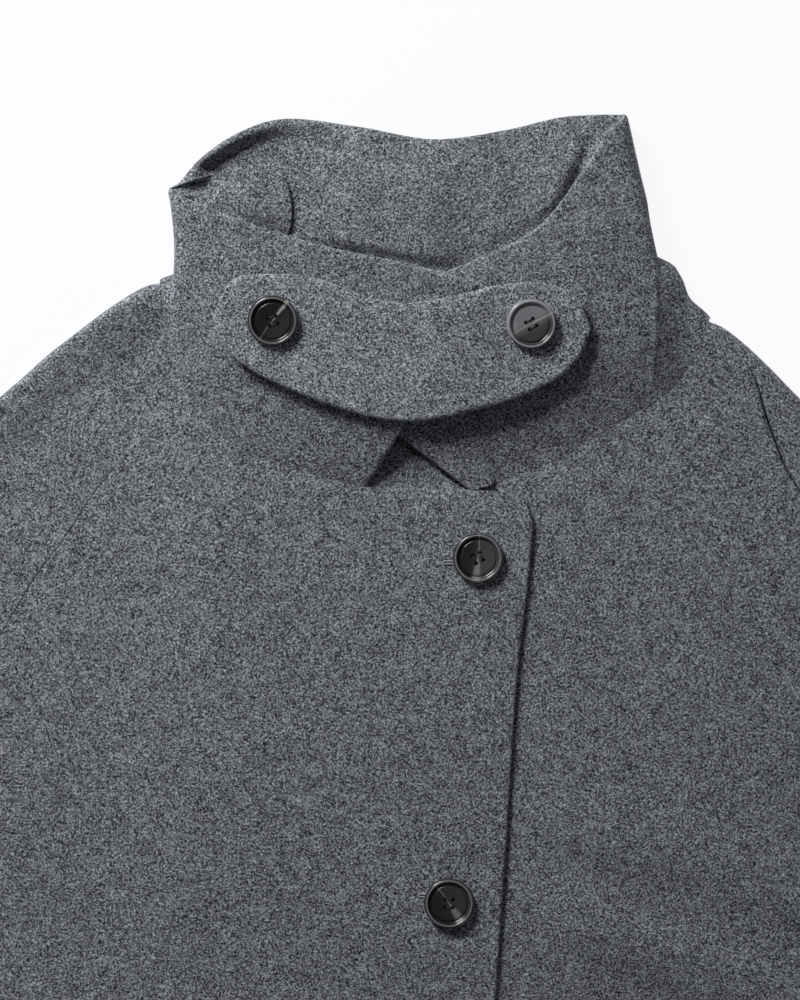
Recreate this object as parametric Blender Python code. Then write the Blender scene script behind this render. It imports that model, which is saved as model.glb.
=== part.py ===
"""Short wool coat, laid flat on its back with the front buttoned and the collar turned up.

Tables are in millimetres, +X to the viewer's right, +Y towards the collar, +Z up, with the
coat's neck points on the line y = 0. The finished objects are in metres, with the origin on the
floor under the middle of the coat's outline.
"""

import math

import bpy
import numpy as np
from mathutils import Vector
from mathutils.bvhtree import BVHTree

MM = 0.001

# Cloth and making
CLOTH = 2.5                 # melton, one layer
DOUBLE_CLOTH = 4.0          # collar and tab: two layers pressed together
SEAM_GAP = 0.3              # left between pieces at every seam
ROLL_STEPS = 3              # facets in a quarter of a rolled edge

# Body
HALF_CHEST = 270.0
ARMPIT_Y = -400.0
HALF_HEM = 290.0
HEM_Y = -640.0
HEM_RISE = 6.0              # the hem is this much higher at the side seams
OVER_EDGE = 55.0            # front edge of the front that laps over
UNDER_EDGE = -59.0          # front edge of the front beneath
BACK_NECK = (95.0, -14.0)   # where the back raglan seam meets the neckline
BACK_NECK_DROP = -25.0

# Sleeves
NECK_POINT = (137.5, 2.6)
CUFF_OUTER = (601.0, -522.0)
CUFF_INNER = (485.0, -617.0)
SLEEVE_ROLL = 3.2           # middle radius of the fold along the arm
SIDE_ROLL = 3.6             # side seams, at the hem
ARMPIT_ROLL = 1.8
ROLL_REACH = 34.0           # how far in from a rolled edge the cloth settles
CLIMB_REACH = 100.0         # the top front starts to climb this far before the other's edge
CLIMB_CLEAR = 36.0          # and is up this far before it

# Heights of the middle of each layer above the floor
LOWER = CLOTH / 2
UPPER = LOWER + CLOTH + SEAM_GAP
OVERLAP = UPPER + CLOTH + SEAM_GAP

# Buttons
BUTTON_ACROSS = 25.0
BUTTON_HOLE = 2.2
BUTTON_HOLE_OFFSET = 2.1
BUTTON_SIDES = 20

COLLAR_TOP_Y = 102.0
ORIGIN_Y = 0.0              # set below, from the outline

# Outlines of the right-hand half. Each row is (x, y); the left half is the same, mirrored.
SIDE_SEAM = ((HALF_HEM, HEM_Y + HEM_RISE), (281.0, -560.0), (274.0, -470.0), (HALF_CHEST, ARMPIT_Y))
BACK_RAGLAN = ((HALF_CHEST, ARMPIT_Y), (250.0, -340.0), (228.0, -270.0), (200.0, -195.0),
               (165.0, -115.0), (130.0, -55.0), BACK_NECK)
FRONT_RAGLAN = ((HALF_CHEST, ARMPIT_Y), (257.0, -350.0), (245.0, -300.0), (232.0, -250.0),
                (218.0, -207.0), (202.0, -172.0), (188.5, -146.5), (175.5, -126.0),
                (164.0, -105.5), (148.5, -83.5), (134.0, -62.5))
UNDERARM = ((HALF_CHEST, ARMPIT_Y), (322.0, -456.0), (400.0, -533.0), CUFF_INNER)
ARM_OUTLINE = (NECK_POINT, (143.5, 1.0), (151.0, -3.4), (160.0, -10.0), (170.5, -18.8),
               (181.0, -28.2), (191.5, -37.5), (201.5, -48.0), (213.2, -59.5), (250.0, -99.0),
               (300.0, -157.0), (450.0, -339.0), CUFF_OUTER)

# The overarm seam: distance down the arm from the neck, and how far inside the outline it lies.
# The sleeve on the right has rolled forwards, so that more of its back half shows.
OVERARM_SEAM = {
    "left": ((0.0, 5.0), (85.0, 5.0), (100.0, 7.0), (115.0, 12.0), (160.0, 18.0), (700.0, 18.0)),
    "right": ((0.0, 5.0), (22.0, 5.5), (40.0, 12.0), (57.0, 21.0), (70.0, 26.0), (92.0, 31.5),
              (160.0, 36.0), (700.0, 30.0)),
}

# Necklines of the fronts and of the sleeve heads beyond them: distance outwards from the middle, y.
FRONT_NECK = {
    "left": ((121.0, -50.6), (110.4, -60.8), (102.5, -69.5), (93.3, -76.2), (75.8, -83.0),
             (57.4, -87.2), (27.5, -92.1), (0.0, -91.0), (-27.0, -89.8), (-45.0, -90.5),
             (-52.2, -93.2)),
    "right": ((118.0, -36.6), (111.7, -40.6), (105.0, -45.8), (97.4, -51.0), (84.5, -60.0),
              (70.4, -69.8), (46.0, -81.0), (23.0, -91.0), (8.0, -86.5), (-10.0, -81.5),
              (-35.0, -80.0), (-57.0, -82.0)),
}
SLEEVE_NECK = {
    "left": (NECK_POINT, (135.6, -9.0), (133.4, -19.0), (130.0, -30.0), (126.5, -40.0), (121.0, -50.6)),
    "right": (NECK_POINT, (134.6, -8.5), (131.4, -17.4), (126.8, -25.6), (122.3, -32.0), (118.0, -36.6)),
}
BACK_NECK_LINE = ((0.0, BACK_NECK_DROP), (50.0, -22.4), BACK_NECK, (118.0, -8.4), NECK_POINT)
FRONT_EDGE = {
    "left": ((-52.2, -93.2), (-56.0, -101.0), (-57.0, -124.0), (-55.0, -170.0), (-55.0, -270.0),
             (-OVER_EDGE, -340.0), (-OVER_EDGE, HEM_Y)),
    "right": ((-57.0, -82.0), (UNDER_EDGE + 0.6, -110.0), (UNDER_EDGE, -200.0), (UNDER_EDGE, HEM_Y)),
}

# Facets along each border
SIDE_STEPS = 6
RAGLAN_STEPS = 12
UNDERARM_STEPS = 7
FRONT_STEPS = 11
BACK_STEPS = 12
HEAD_STEPS = 5
CROWD = 1.6                 # rows crowd towards the neck by this power
ARMPIT_SHARE = 0.55         # share of the arm's outline opposite the armpit
BEND_ENDS = 0.9             # the rolled edges flatten just before the armpit

# Soft folds in the fronts: start, end, half width, height (a trough is below zero), and how far
# each end fades. Heights are added to every layer that lies there.
DRAG_FOLDS = (
    # x0, y0, x1, y1, half width, height, fade
    (66.0, -292.0, 262.0, -352.0, 26.0, 4.0, 40.0),
    (60.0, -244.0, 262.0, -300.0, 30.0, 3.2, 40.0),
    (-230.0, -330.0, -90.0, -420.0, 40.0, 3.0, 60.0),
    (110.0, -470.0, 250.0, -520.0, 38.0, 3.0, 50.0),
    (-60.0, -560.0, -200.0, -520.0, 42.0, 2.6, 50.0),
)

# The collar, station by station from the end on top, round the back, to the end beneath. Each
# station is a line up the collar: x, y, z at the seam, at 0.3 and 0.6 of its height, and at its
# top edge. "turns" counts the facets from this station to the next.
COLLAR_STATIONS = (
    # name, seam, low, high, top, turns
    ("end on top", (-27.3, -91.4, 8.2), (-12.6, -60.3, 14.2), (2.4, -28.8, 17.0), (22.3, 13.1, 18.8), 2),
    ("over second", (-57.2, -86.6, 8.2), (-46.0, -54.0, 14.4), (-33.5, -22.0, 17.4), (-17.0, 20.6, 20.0), 2),
    ("over third", (-84.0, -79.6, 7.0), (-77.0, -48.0, 13.2), (-69.0, -16.0, 16.6), (-57.0, 26.0, 20.2), 2),
    ("over fourth", (-102.2, -68.6, 5.8), (-101.0, -40.0, 12.4), (-99.0, -10.0, 16.2), (-96.0, 35.0, 19.4), 2),
    ("left crease", (-112.5, -57.5, 5.6), (-118.5, -24.0, 11.6), (-124.6, 4.0, 14.0), (-127.5, 45.2, 16.8), 2),
    ("left base", (-127.6, -37.4, 6.4), (-128.2, -12.0, 10.4), (-128.2, 12.0, 12.6), (-131.8, 46.6, 14.2), 1),
    ("left edge above", (-134.4, -10.0, 7.2), (-130.4, 3.0, 9.6), (-130.0, 22.0, 11.0), (-133.2, 48.6, 12.2), 2),
    ("left outline", (-133.4, 3.6, 4.6), (-129.4, 9.0, 5.8), (-129.8, 27.0, 7.4), (-133.6, 49.6, 9.4), 2),
    ("left edge below", (-128.6, -3.0, 2.0), (-125.4, 12.0, 2.4), (-126.0, 30.0, 3.0), (-131.4, 52.6, 5.2), 1),
    ("back left", (-117.0, -9.0, 2.0), (-114.5, 15.0, 2.0), (-115.0, 37.0, 2.4), (-121.4, 63.0, 3.6), 2),
    ("back second", (-98.0, -14.6, 2.0), (-98.0, 14.0, 2.0), (-99.0, 43.0, 2.0), (-104.0, 77.0, 2.4), 2),
    ("back third", (-72.0, -20.8, 2.0), (-74.0, 11.0, 2.0), (-76.5, 43.0, 2.0), (-81.0, 86.2, 2.0), 2),
    ("back fourth", (-40.0, -24.0, 2.0), (-41.0, 9.0, 2.0), (-42.0, 42.0, 2.0), (-44.0, 85.8, 2.0), 2),
    ("back middle", (0.0, -25.0, 2.0), (-2.0, 7.0, 2.0), (-4.0, 39.0, 2.0), (-6.0, 82.4, 2.0), 2),
    ("back sixth", (40.0, -24.0, 2.0), (38.0, 11.0, 2.0), (34.0, 46.0, 2.0), (30.0, 89.4, 2.0), 2),
    ("back seventh", (75.0, -20.8, 2.0), (71.0, 15.0, 2.0), (66.0, 51.0, 2.0), (58.0, 97.6, 2.4), 2),
    ("back right", (108.0, -12.4, 2.0), (97.0, 17.0, 2.0), (87.0, 51.0, 2.4), (77.0, 100.4, 3.8), 1),
    ("right edge below", (127.0, -5.0, 2.0), (114.6, 21.0, 2.4), (101.0, 51.8, 3.0), (85.4, 101.2, 5.2), 2),
    ("right outline", (133.4, 4.6, 4.6), (118.8, 24.6, 5.6), (104.0, 52.2, 7.0), (87.4, 101.2, 9.2), 2),
    ("right edge above", (133.4, -6.0, 7.2), (117.8, 20.0, 9.4), (103.8, 51.0, 11.0), (86.9, 100.2, 12.4), 1),
    ("right base", (127.4, -24.6, 6.4), (114.6, 9.0, 10.8), (102.6, 48.4, 12.8), (85.8, 98.4, 14.0), 2),
    ("right crease", (112.2, -38.6, 5.6), (109.6, -1.0, 12.0), (101.6, 44.6, 14.6), (81.6, 95.2, 15.8), 2),
    ("under fourth", (97.6, -49.6, 4.9), (94.0, -12.0, 11.8), (87.0, 29.0, 15.4), (69.8, 74.0, 17.4), 2),
    ("under third", (84.8, -58.6, 4.9), (76.0, -25.0, 11.0), (66.0, 9.0, 14.4), (50.4, 44.6, 16.4), 2),
    ("under second", (46.4, -79.6, 4.9), (36.0, -48.0, 9.6), (22.0, -20.0, 11.6), (5.4, 18.0, 12.4), 2),
    ("end beneath", (23.4, -89.6, 4.9), (-4.8, -70.6, 8.2), (-33.6, -50.4, 8.8), (-73.4, -23.2, 9.0), 0),
)
COLLAR_HEIGHTS = (0.0, 0.3, 0.6, 1.0)
COLLAR_GAP = 0.45           # between the collar and the necklines, whose facets differ
COLLAR_SIDE = np.array((-20.0, 60.0))   # a place inside the collar, seen from above
NOTCH_REACH = 1.2           # the folds at the neck points stand this far along from the outline
PINCH_REACH = 1.8           # beside the outline, where the fold squeezes the inner layer
PINCH = 0.6                 # by this share of its thickness
COLLAR_ROWS = (0.0, 0.1, 0.22, 0.36, 0.5, 0.64, 0.78, 0.9, 1.0)

# The inner layer of the collar buckles into a rounded lobe at the left fold: height up the
# collar, how far the lobe reaches in from the fold, and its direction in degrees.
COLLAR_LOBE = (
    # height, reach, direction
    (0.0, 0.0, 10.0),
    (0.2, 14.0, 12.0),
    (0.36, 44.0, 16.0),
    (0.5, 53.0, 19.0),
    (0.64, 54.0, 22.0),
    (0.78, 49.0, 26.0),
    (0.9, 30.0, 30.0),
    (1.0, 0.0, 30.0),
)

# The throat tab: its middle line, from left to right, and half its width there.
TAB_LINE = (
    # x, y, half width
    (-107.6, -8.0, 5.0),
    (-105.0, -8.6, 11.5),
    (-97.5, -9.6, 18.6),
    (-84.0, -13.4, 24.6),
    (-66.0, -17.6, 28.0),
    (-40.0, -25.6, 28.4),
    (-13.0, -29.0, 29.4),
    (16.0, -22.6, 28.8),
    (44.0, -12.4, 27.4),
    (60.0, -6.2, 23.0),
    (70.6, -2.2, 15.6),
    (75.4, -0.6, 9.4),
    (77.6, 0.2, 6.2),
)

# Buttons: node, what it lies on, x, y, turn of the holes in degrees
BUTTONS = (
    ("button_tab_left", "collar_tab", -79.2, -13.0, 20.0),
    ("button_tab_right", "collar_tab", 48.6, -5.6, 30.0),
    ("button_front_1", "front_over", 30.8, -123.6, -60.0),
    ("button_front_2", "front_over", 28.4, -296.7, 4.0),
    ("button_front_3", "front_over", 26.5, -470.0, 12.0),
)
# Half the outline of a button turned about its middle: radius, height
BUTTON_PROFILE = ((0.0, 0.0), (10.6, 0.0), (12.3, 1.1), (12.5, 2.4), (12.0, 3.5), (11.0, 4.0),
                  (10.0, 3.5), (9.3, 2.3), (8.6, 2.6), (5.0, 2.2), (0.0, 2.1))


def smooth(value, start, end):
    """From 0 at start to 1 at end, easing at both."""
    share = np.clip((np.asarray(value, float) - start) / (end - start), 0.0, 1.0)
    return share * share * (3.0 - 2.0 * share)


def through(knots, values, at):
    """A smooth curve through the values, one at each knot, read at other places."""
    knots = np.asarray(knots, float)
    values = np.asarray(values, float)
    at = np.clip(np.asarray(at, float), knots[0], knots[-1])
    spans = np.diff(knots)
    rises = np.diff(values, axis=0) / spans.reshape((-1,) + (1,) * (values.ndim - 1))
    slopes = np.empty_like(values)
    slopes[0], slopes[-1] = rises[0], rises[-1]
    for k in range(1, len(knots) - 1):
        slopes[k] = (rises[k - 1] * spans[k] + rises[k] * spans[k - 1]) / (spans[k - 1] + spans[k])
    piece = np.clip(np.searchsorted(knots, at, side="right") - 1, 0, len(spans) - 1)
    shape = at.shape + (1,) * (values.ndim - 1)
    span = spans[piece].reshape(shape)
    t = ((at - knots[piece]) / spans[piece]).reshape(shape)
    return (values[piece] * (1 + 2 * t) * (1 - t) ** 2 + slopes[piece] * span * t * (1 - t) ** 2
            + values[piece + 1] * t * t * (3 - 2 * t) + slopes[piece + 1] * span * t * t * (t - 1))


def lengths(points):
    """Distance along a line of points, from its first."""
    steps = np.linalg.norm(np.diff(np.asarray(points, float), axis=0), axis=1)
    return np.concatenate([[0.0], np.cumsum(steps)])


def along(points, shares):
    """Points of a smooth curve through the given ones, at shares of its length."""
    run = lengths(points)
    return through(run, points, np.asarray(shares) * run[-1])


def shifted(line, distance, meets=(None, None)):
    """The line moved sideways, to the right of its direction, and the way each point went.

    Where an end meets another border, that end slides along the border instead."""
    ahead = np.gradient(line, axis=0)
    ahead /= np.linalg.norm(ahead, axis=1)[:, None]
    right = np.stack([ahead[:, 1], -ahead[:, 0]], axis=1)
    for end, border in zip((0, -1), meets):
        if border is not None:
            chord = np.subtract(border[1], border[0])
            right[end] = chord / (chord @ right[end])
    return line + right * np.reshape(distance, (-1, 1)), right


def patch(sides, ends, across, up):
    """A net of points filled in between four border lines. The bends of the end lines fade out."""
    (start, finish), (low, high) = sides, ends
    u = np.reshape(across, (1, -1, 1))
    v = np.reshape(up, (-1, 1, 1))
    low_bend = low[None] - ((1 - u) * low[0] + u * low[-1])
    high_bend = high[None] - ((1 - u) * high[0] + u * high[-1])
    return (1 - u) * start[:, None] + u * finish[:, None] + (1 - v) ** 3 * low_bend + v ** 3 * high_bend


def with_height(flat, height):
    return np.concatenate([flat, np.broadcast_to(height, flat.shape[:2])[..., None]], axis=2)


def roll(edge, outwards, radius, level, turn_up, bend, steps, ghost):
    """Columns of points that carry a panel on from its edge, a quarter or half turn round.

    Where bend is 0 they run on flat for the same distance, up to a butted seam."""
    columns = []
    reach = radius + CLOTH / 2 - SEAM_GAP / 2
    angles = [90.0 * k / ROLL_STEPS for k in range(1, steps + 1)]
    for angle in angles + [angles[-1] + 90.0 / ROLL_STEPS] * ghost:
        turned = math.radians(angle)
        out = bend * radius * math.sin(turned) + (1 - bend) * reach * angle / 90.0
        rise = bend * turn_up * radius * (1 - math.cos(turned))
        if angle >= 90.0 and steps == ROLL_STEPS:
            rise = rise - bend * turn_up * SEAM_GAP / 2
        spot = edge[:, :2] + outwards * out[:, None]
        columns.append(np.column_stack([spot, edge[:, 2] + rise]))
    return columns


def faces_of(rows, columns):
    return [(r * columns + c, r * columns + c + 1, (r + 1) * columns + c + 1, (r + 1) * columns + c)
            for r in range(rows - 1) for c in range(columns - 1)]


def layers(net, thickness, ghosts=(0, 0), cut=None):
    """The two faces of a wall whose middle is the net. Ghost columns only steer the edges.

    The columns on either side of a cut share their direction, so that the edges stay parallel."""
    along_rows = np.gradient(net, axis=1)
    along_columns = np.gradient(net, axis=0)
    normal = np.cross(along_rows, along_columns)
    normal /= np.linalg.norm(normal, axis=2)[..., None]
    if cut is not None:
        shared = normal[:, cut - 1] + normal[:, cut]
        shared /= np.linalg.norm(shared, axis=1)[:, None]
        normal[:, cut - 1] = normal[:, cut] = shared
    low, high = net - normal * thickness / 2, net + normal * thickness / 2
    stop = net.shape[1] - ghosts[1]
    return low[:, ghosts[0]:stop], high[:, ghosts[0]:stop]


def colour_of(name, colour, roughness, metallic=0.0):
    material = bpy.data.materials.new(name)
    material.use_nodes = True
    shader = material.node_tree.nodes["Principled BSDF"]
    shader.inputs["Base Color"].default_value = (*colour, 1.0)
    shader.inputs["Roughness"].default_value = roughness
    shader.inputs["Metallic"].default_value = metallic
    material.diffuse_color = (*colour, 1.0)
    return material


def placed(points):
    """Table points, in millimetres, as metres from the part's own origin."""
    return [((x) * MM, (y - ORIGIN_Y) * MM, z * MM) for x, y, z in points]


def add_object(name, points, faces, material, sharp_degrees=40.0):
    mesh = bpy.data.meshes.new(name)
    mesh.from_pydata(placed(points), [], faces)
    mesh.update()
    mesh.materials.append(material)
    mesh.shade_smooth()
    mesh.set_sharp_from_angle(angle=math.radians(sharp_degrees))
    thing = bpy.data.objects.new(name, mesh)
    bpy.context.scene.collection.objects.link(thing)
    return thing


def add_wall(name, low, high, material):
    """A closed wall between two nets of the same size, the first beneath or inside."""
    rows, columns = low.shape[:2]
    points = np.concatenate([low.reshape(-1, 3), high.reshape(-1, 3)])
    top = rows * columns
    faces = [tuple(reversed(face)) for face in faces_of(rows, columns)]
    faces += [tuple(corner + top for corner in face) for face in faces_of(rows, columns)]
    rim = [c for c in range(columns)]
    rim += [r * columns + columns - 1 for r in range(1, rows)]
    rim += [(rows - 1) * columns + c for c in range(columns - 2, -1, -1)]
    rim += [r * columns for r in range(rows - 2, 0, -1)]
    for k, corner in enumerate(rim):
        after = rim[(k + 1) % len(rim)]
        faces.append((corner, after, after + top, corner + top))
    flip = np.cross(high[0, 1] - high[0, 0], high[1, 0] - high[0, 0]) @ (high[0, 0] - low[0, 0]) < 0
    if flip:
        faces = [tuple(reversed(face)) for face in faces]
    return add_object(name, points, faces, material)


def fold_height(x, y):
    """Height of the soft folds at a place."""
    height = np.zeros_like(x)
    for x0, y0, x1, y1, half_width, rise, fade in DRAG_FOLDS:
        length = math.hypot(x1 - x0, y1 - y0)
        ahead = ((x1 - x0) / length, (y1 - y0) / length)
        run = (x - x0) * ahead[0] + (y - y0) * ahead[1]
        off = np.abs((y - y0) * ahead[0] - (x - x0) * ahead[1])
        ends = smooth(run, 0.0, fade) * (1 - smooth(run, length - fade, length))
        height += rise * ends * (1 - smooth(off, 0.0, half_width))
    return height


def stretch(points, steps, first=0, last=-1, crowd=1.0):
    """Points of a smooth curve, from one of its table points to another.

    They are even, or crowded towards the last one where crowd is over 1."""
    run = lengths(points)
    shares = 1.0 - np.linspace(1.0, 0.0, steps + 1) ** crowd
    return through(run, points, run[first] + (run[last] - run[first]) * shares)


def joined(first, second):
    """Two borders that meet at a corner, and the share of their length where they do."""
    line = np.concatenate([first, second[1:]])
    run = lengths(line)
    return line, run / run[-1], run[len(first) - 1] / run[-1]


def front_raglan(side):
    return stretch(FRONT_RAGLAN + (FRONT_NECK[side][0],), RAGLAN_STEPS, crowd=CROWD)


def mirrored(line):
    return line * (-1, 1)


def sleeve_rows():
    """Shares of the arm's outline where both halves of a sleeve have their rows."""
    upper = ARMPIT_SHARE * np.linspace(0.0, 1.0, RAGLAN_STEPS + 1) ** CROWD
    return np.concatenate([upper, np.linspace(ARMPIT_SHARE, 1.0, UNDERARM_STEPS + 1)[1:]])


def neck_edges():
    """The necklines as the pieces have them, each with its facets."""
    back = stretch(BACK_NECK_LINE, BACK_STEPS // 2, 0, 2)
    edges = [np.concatenate([mirrored(back)[:0:-1], back])]
    head = stretch(BACK_NECK_LINE, HEAD_STEPS, 2, -1)
    edges += [head, mirrored(head)]
    for side, sign in (("left", -1), ("right", 1)):
        edges.append(stretch(FRONT_NECK[side], FRONT_STEPS) * (sign, 1))
        edges.append(stretch(SLEEVE_NECK[side], HEAD_STEPS) * (sign, 1))
    return edges


def make_back(material):
    border, up, armpit = joined(stretch(SIDE_SEAM, SIDE_STEPS), stretch(BACK_RAGLAN, RAGLAN_STEPS, crowd=CROWD))
    radius = ARMPIT_ROLL + (SIDE_ROLL - ARMPIT_ROLL) * (1 - smooth(up, 0.0, armpit))
    bend = (up <= armpit * BEND_ENDS).astype(float)
    half = stretch(BACK_NECK_LINE, BACK_STEPS // 2, 0, 2)
    right, out = shifted(border, -(radius + CLOTH / 2), (None, half[-2:]))
    left = mirrored(right)
    neck = np.concatenate([mirrored(half)[:0:-1], half]) - (0.0, SEAM_GAP / 2)
    hem = stretch(((-HALF_HEM, HEM_Y + HEM_RISE), (0.0, HEM_Y), (HALF_HEM, HEM_Y + HEM_RISE)), BACK_STEPS)
    hem[0], hem[-1], neck[0], neck[-1] = left[0], right[0], left[-1], right[-1]
    across = np.linspace(0.0, 1.0, BACK_STEPS + 1)
    net = with_height(patch((left, right), (hem, neck), across, up), LOWER)
    end = roll(net[:, -1], out, radius, LOWER, 1, bend, ROLL_STEPS, 1)
    start = roll(net[:, 0], mirrored(out), radius, LOWER, 1, bend, ROLL_STEPS, 1)
    net = np.stack(start[::-1] + [net[:, c] for c in range(net.shape[1])] + end, axis=1)
    return add_wall("back", *layers(net, CLOTH, (1, 1)), material)


def front_level(side, x):
    """Height of the middle of a front's cloth: the top one climbs over the other's edge."""
    if side == "right":
        return np.full_like(x, UPPER)
    climb = smooth(x, UNDER_EDGE - CLIMB_REACH, UNDER_EDGE - CLIMB_CLEAR)
    return UPPER + (OVERLAP - UPPER) * climb


def make_front(side, material):
    sign = -1 if side == "left" else 1
    border, up, armpit = joined(stretch(SIDE_SEAM, SIDE_STEPS),
                                front_raglan(side))
    radius = ARMPIT_ROLL + (SIDE_ROLL - ARMPIT_ROLL) * (1 - smooth(up, 0.0, armpit))
    bend = (up <= armpit * BEND_ENDS).astype(float)
    outer, out = shifted(border, -(radius + CLOTH / 2), (None, FRONT_NECK[side][:2]))
    edge = along(FRONT_EDGE[side][::-1], up)
    across = np.linspace(0.0, 1.0, FRONT_STEPS + 1)
    hem = along(((HALF_HEM, HEM_Y + HEM_RISE), (HALF_HEM * 0.5, HEM_Y + HEM_RISE / 4),
                 FRONT_EDGE[side][-1]), across)
    neck = shifted(stretch(FRONT_NECK[side], FRONT_STEPS), SEAM_GAP / 2 * -1)[0]
    hem[0], neck[0] = outer[0], outer[-1]
    hem[-1], neck[-1] = edge[0], edge[-1]
    flat = patch((outer, edge), (hem, neck), across, up)
    inside = np.linalg.norm(flat - flat[:, :1], axis=2)
    crown = (LOWER + 2 * radius - UPPER)[:, None] * bend[:, None]
    level = front_level(side, flat[..., 0] * sign) + crown * (1 - smooth(inside, 0.0, ROLL_REACH))
    level = level + fold_height(flat[..., 0] * sign, flat[..., 1])
    net = with_height(flat, level)
    start = roll(net[:, 0], out, radius, UPPER, -1, bend, ROLL_STEPS, 1)
    net = np.stack(start[::-1] + [net[:, c] for c in range(net.shape[1])], axis=1)
    net[..., 0] *= sign
    return add_wall("front_over" if side == "left" else "front_under",
                    *layers(net, CLOTH, (1, 0)), material)


def arm_sizes(side):
    """The arm's outline, row by row, with its roll and the place of the overarm seam."""
    outline = along(ARM_OUTLINE, sleeve_rows())
    distance = lengths(outline)
    columns = list(zip(*OVERARM_SEAM[side]))
    return outline, np.full(len(outline), SLEEVE_ROLL), np.interp(distance, columns[0], columns[1])


def sleeve_level(from_outline, from_inner, arm_radius, under_radius, bend):
    """Height of the middle of a sleeve's upper layer."""
    arm = (LOWER + 2 * arm_radius - UPPER)[:, None] * (1 - smooth(from_outline, 4.0, ROLL_REACH))
    under = ((LOWER + 2 * under_radius - UPPER) * bend)[:, None] * (1 - smooth(from_inner, 0.0, ROLL_REACH))
    return UPPER + arm + under


def make_sleeve(side, material):
    """One net runs from the underarm, over the floor, round the arm's outline and back on top.

    It is cut in two at the overarm seam, so that the halves meet there at one height."""
    sign = -1 if side == "left" else 1
    underarm = stretch(UNDERARM, UNDERARM_STEPS)
    lower, down, armpit = joined(stretch(BACK_RAGLAN, RAGLAN_STEPS, crowd=CROWD)[::-1], underarm)
    upper = joined(front_raglan(side)[::-1], underarm)[0]
    outline, arm_radius, overarm = arm_sizes(side)
    under_radius = ARMPIT_ROLL + (SLEEVE_ROLL - ARMPIT_ROLL) * smooth(down, armpit, 1.0)
    bend = (down > armpit + 1e-6).astype(float)
    across = np.linspace(0.0, 1.0, HEAD_STEPS + 1)
    cuff = (CUFF_INNER, CUFF_OUTER)
    rows = sleeve_rows()

    start, inwards = shifted(lower, -(under_radius + CLOTH / 2), (BACK_NECK_LINE[2:4], cuff))
    finish, inside = shifted(outline, arm_radius + CLOTH / 2)
    head = stretch(BACK_NECK_LINE, HEAD_STEPS, 2, -1) - (0.0, SEAM_GAP / 2)
    head[0], head[-1] = start[0], finish[0]
    end = np.linspace(start[-1], finish[-1], HEAD_STEPS + 1)
    floor = with_height(patch((start, finish), (head, end), across, rows), LOWER)
    columns = roll(floor[:, 0], inwards, under_radius, LOWER, 1, bend, ROLL_STEPS, 1)[::-1]
    columns += [floor[:, c] for c in range(HEAD_STEPS + 1)]
    columns += roll(floor[:, -1], -inside, arm_radius, LOWER, 1, np.ones_like(down), 2 * ROLL_STEPS, 0)
    crown = columns[-1]
    rest = overarm - SEAM_GAP / 2 - arm_radius - CLOTH / 2
    for share in (0.5, 1.0):
        spot = crown[:, :2] + inside * (rest * share)[:, None]
        from_outline = (arm_radius + CLOTH / 2 + rest * share)[:, None]
        height = sleeve_level(from_outline, np.full_like(from_outline, 2 * ROLL_REACH),
                              arm_radius, under_radius, bend)[:, 0]
        columns.append(np.column_stack([spot, height]))
    cut = len(columns)

    start, inwards = shifted(upper, -(under_radius + CLOTH / 2), (SLEEVE_NECK[side][-2:], cuff))
    finish = shifted(outline, overarm + SEAM_GAP / 2)[0]
    head = stretch(SLEEVE_NECK[side], HEAD_STEPS)[::-1] + (SEAM_GAP / 2, 0.0)
    head[0], head[-1] = start[0], finish[0]
    end = np.linspace(start[-1], finish[-1], HEAD_STEPS + 1)
    flat = patch((start, finish), (head, end), across, rows)
    from_outline = overarm[:, None] + np.linalg.norm(flat - flat[:, -1:], axis=2)
    from_inner = np.linalg.norm(flat - flat[:, :1], axis=2)
    top = with_height(flat, sleeve_level(from_outline, from_inner, arm_radius, under_radius, bend))
    columns += [top[:, c] for c in range(HEAD_STEPS, -1, -1)]
    columns += roll(top[:, 0], inwards, under_radius, UPPER, -1, bend, ROLL_STEPS, 1)

    net = np.stack(columns, axis=1)
    net[..., 0] *= sign
    low, high = layers(net, CLOTH, (1, 1), cut)
    cut -= 1
    return (add_wall("sleeve_back_" + side, low[:, :cut], high[:, :cut], material),
            add_wall("sleeve_front_" + side, low[:, cut:], high[:, cut:], material))


def beside_neckline(spot):
    """The nearest place to spot that is clear of every neckline, on the collar's side."""
    best = None
    for edge in neck_edges():
        for a, b in zip(edge[:-1], edge[1:]):
            share = np.clip((spot - a) @ (b - a) / ((b - a) @ (b - a)), 0.0, 1.0)
            near = a + (b - a) * share
            distance = np.linalg.norm(spot - near)
            if best is None or distance < best[0]:
                side = np.array((a[1] - b[1], b[0] - a[0])) / np.linalg.norm(b - a)
                best = (distance, near, side if side @ (COLLAR_SIDE - near) > 0 else -side)
    return best[1] + best[2] * COLLAR_GAP


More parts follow.
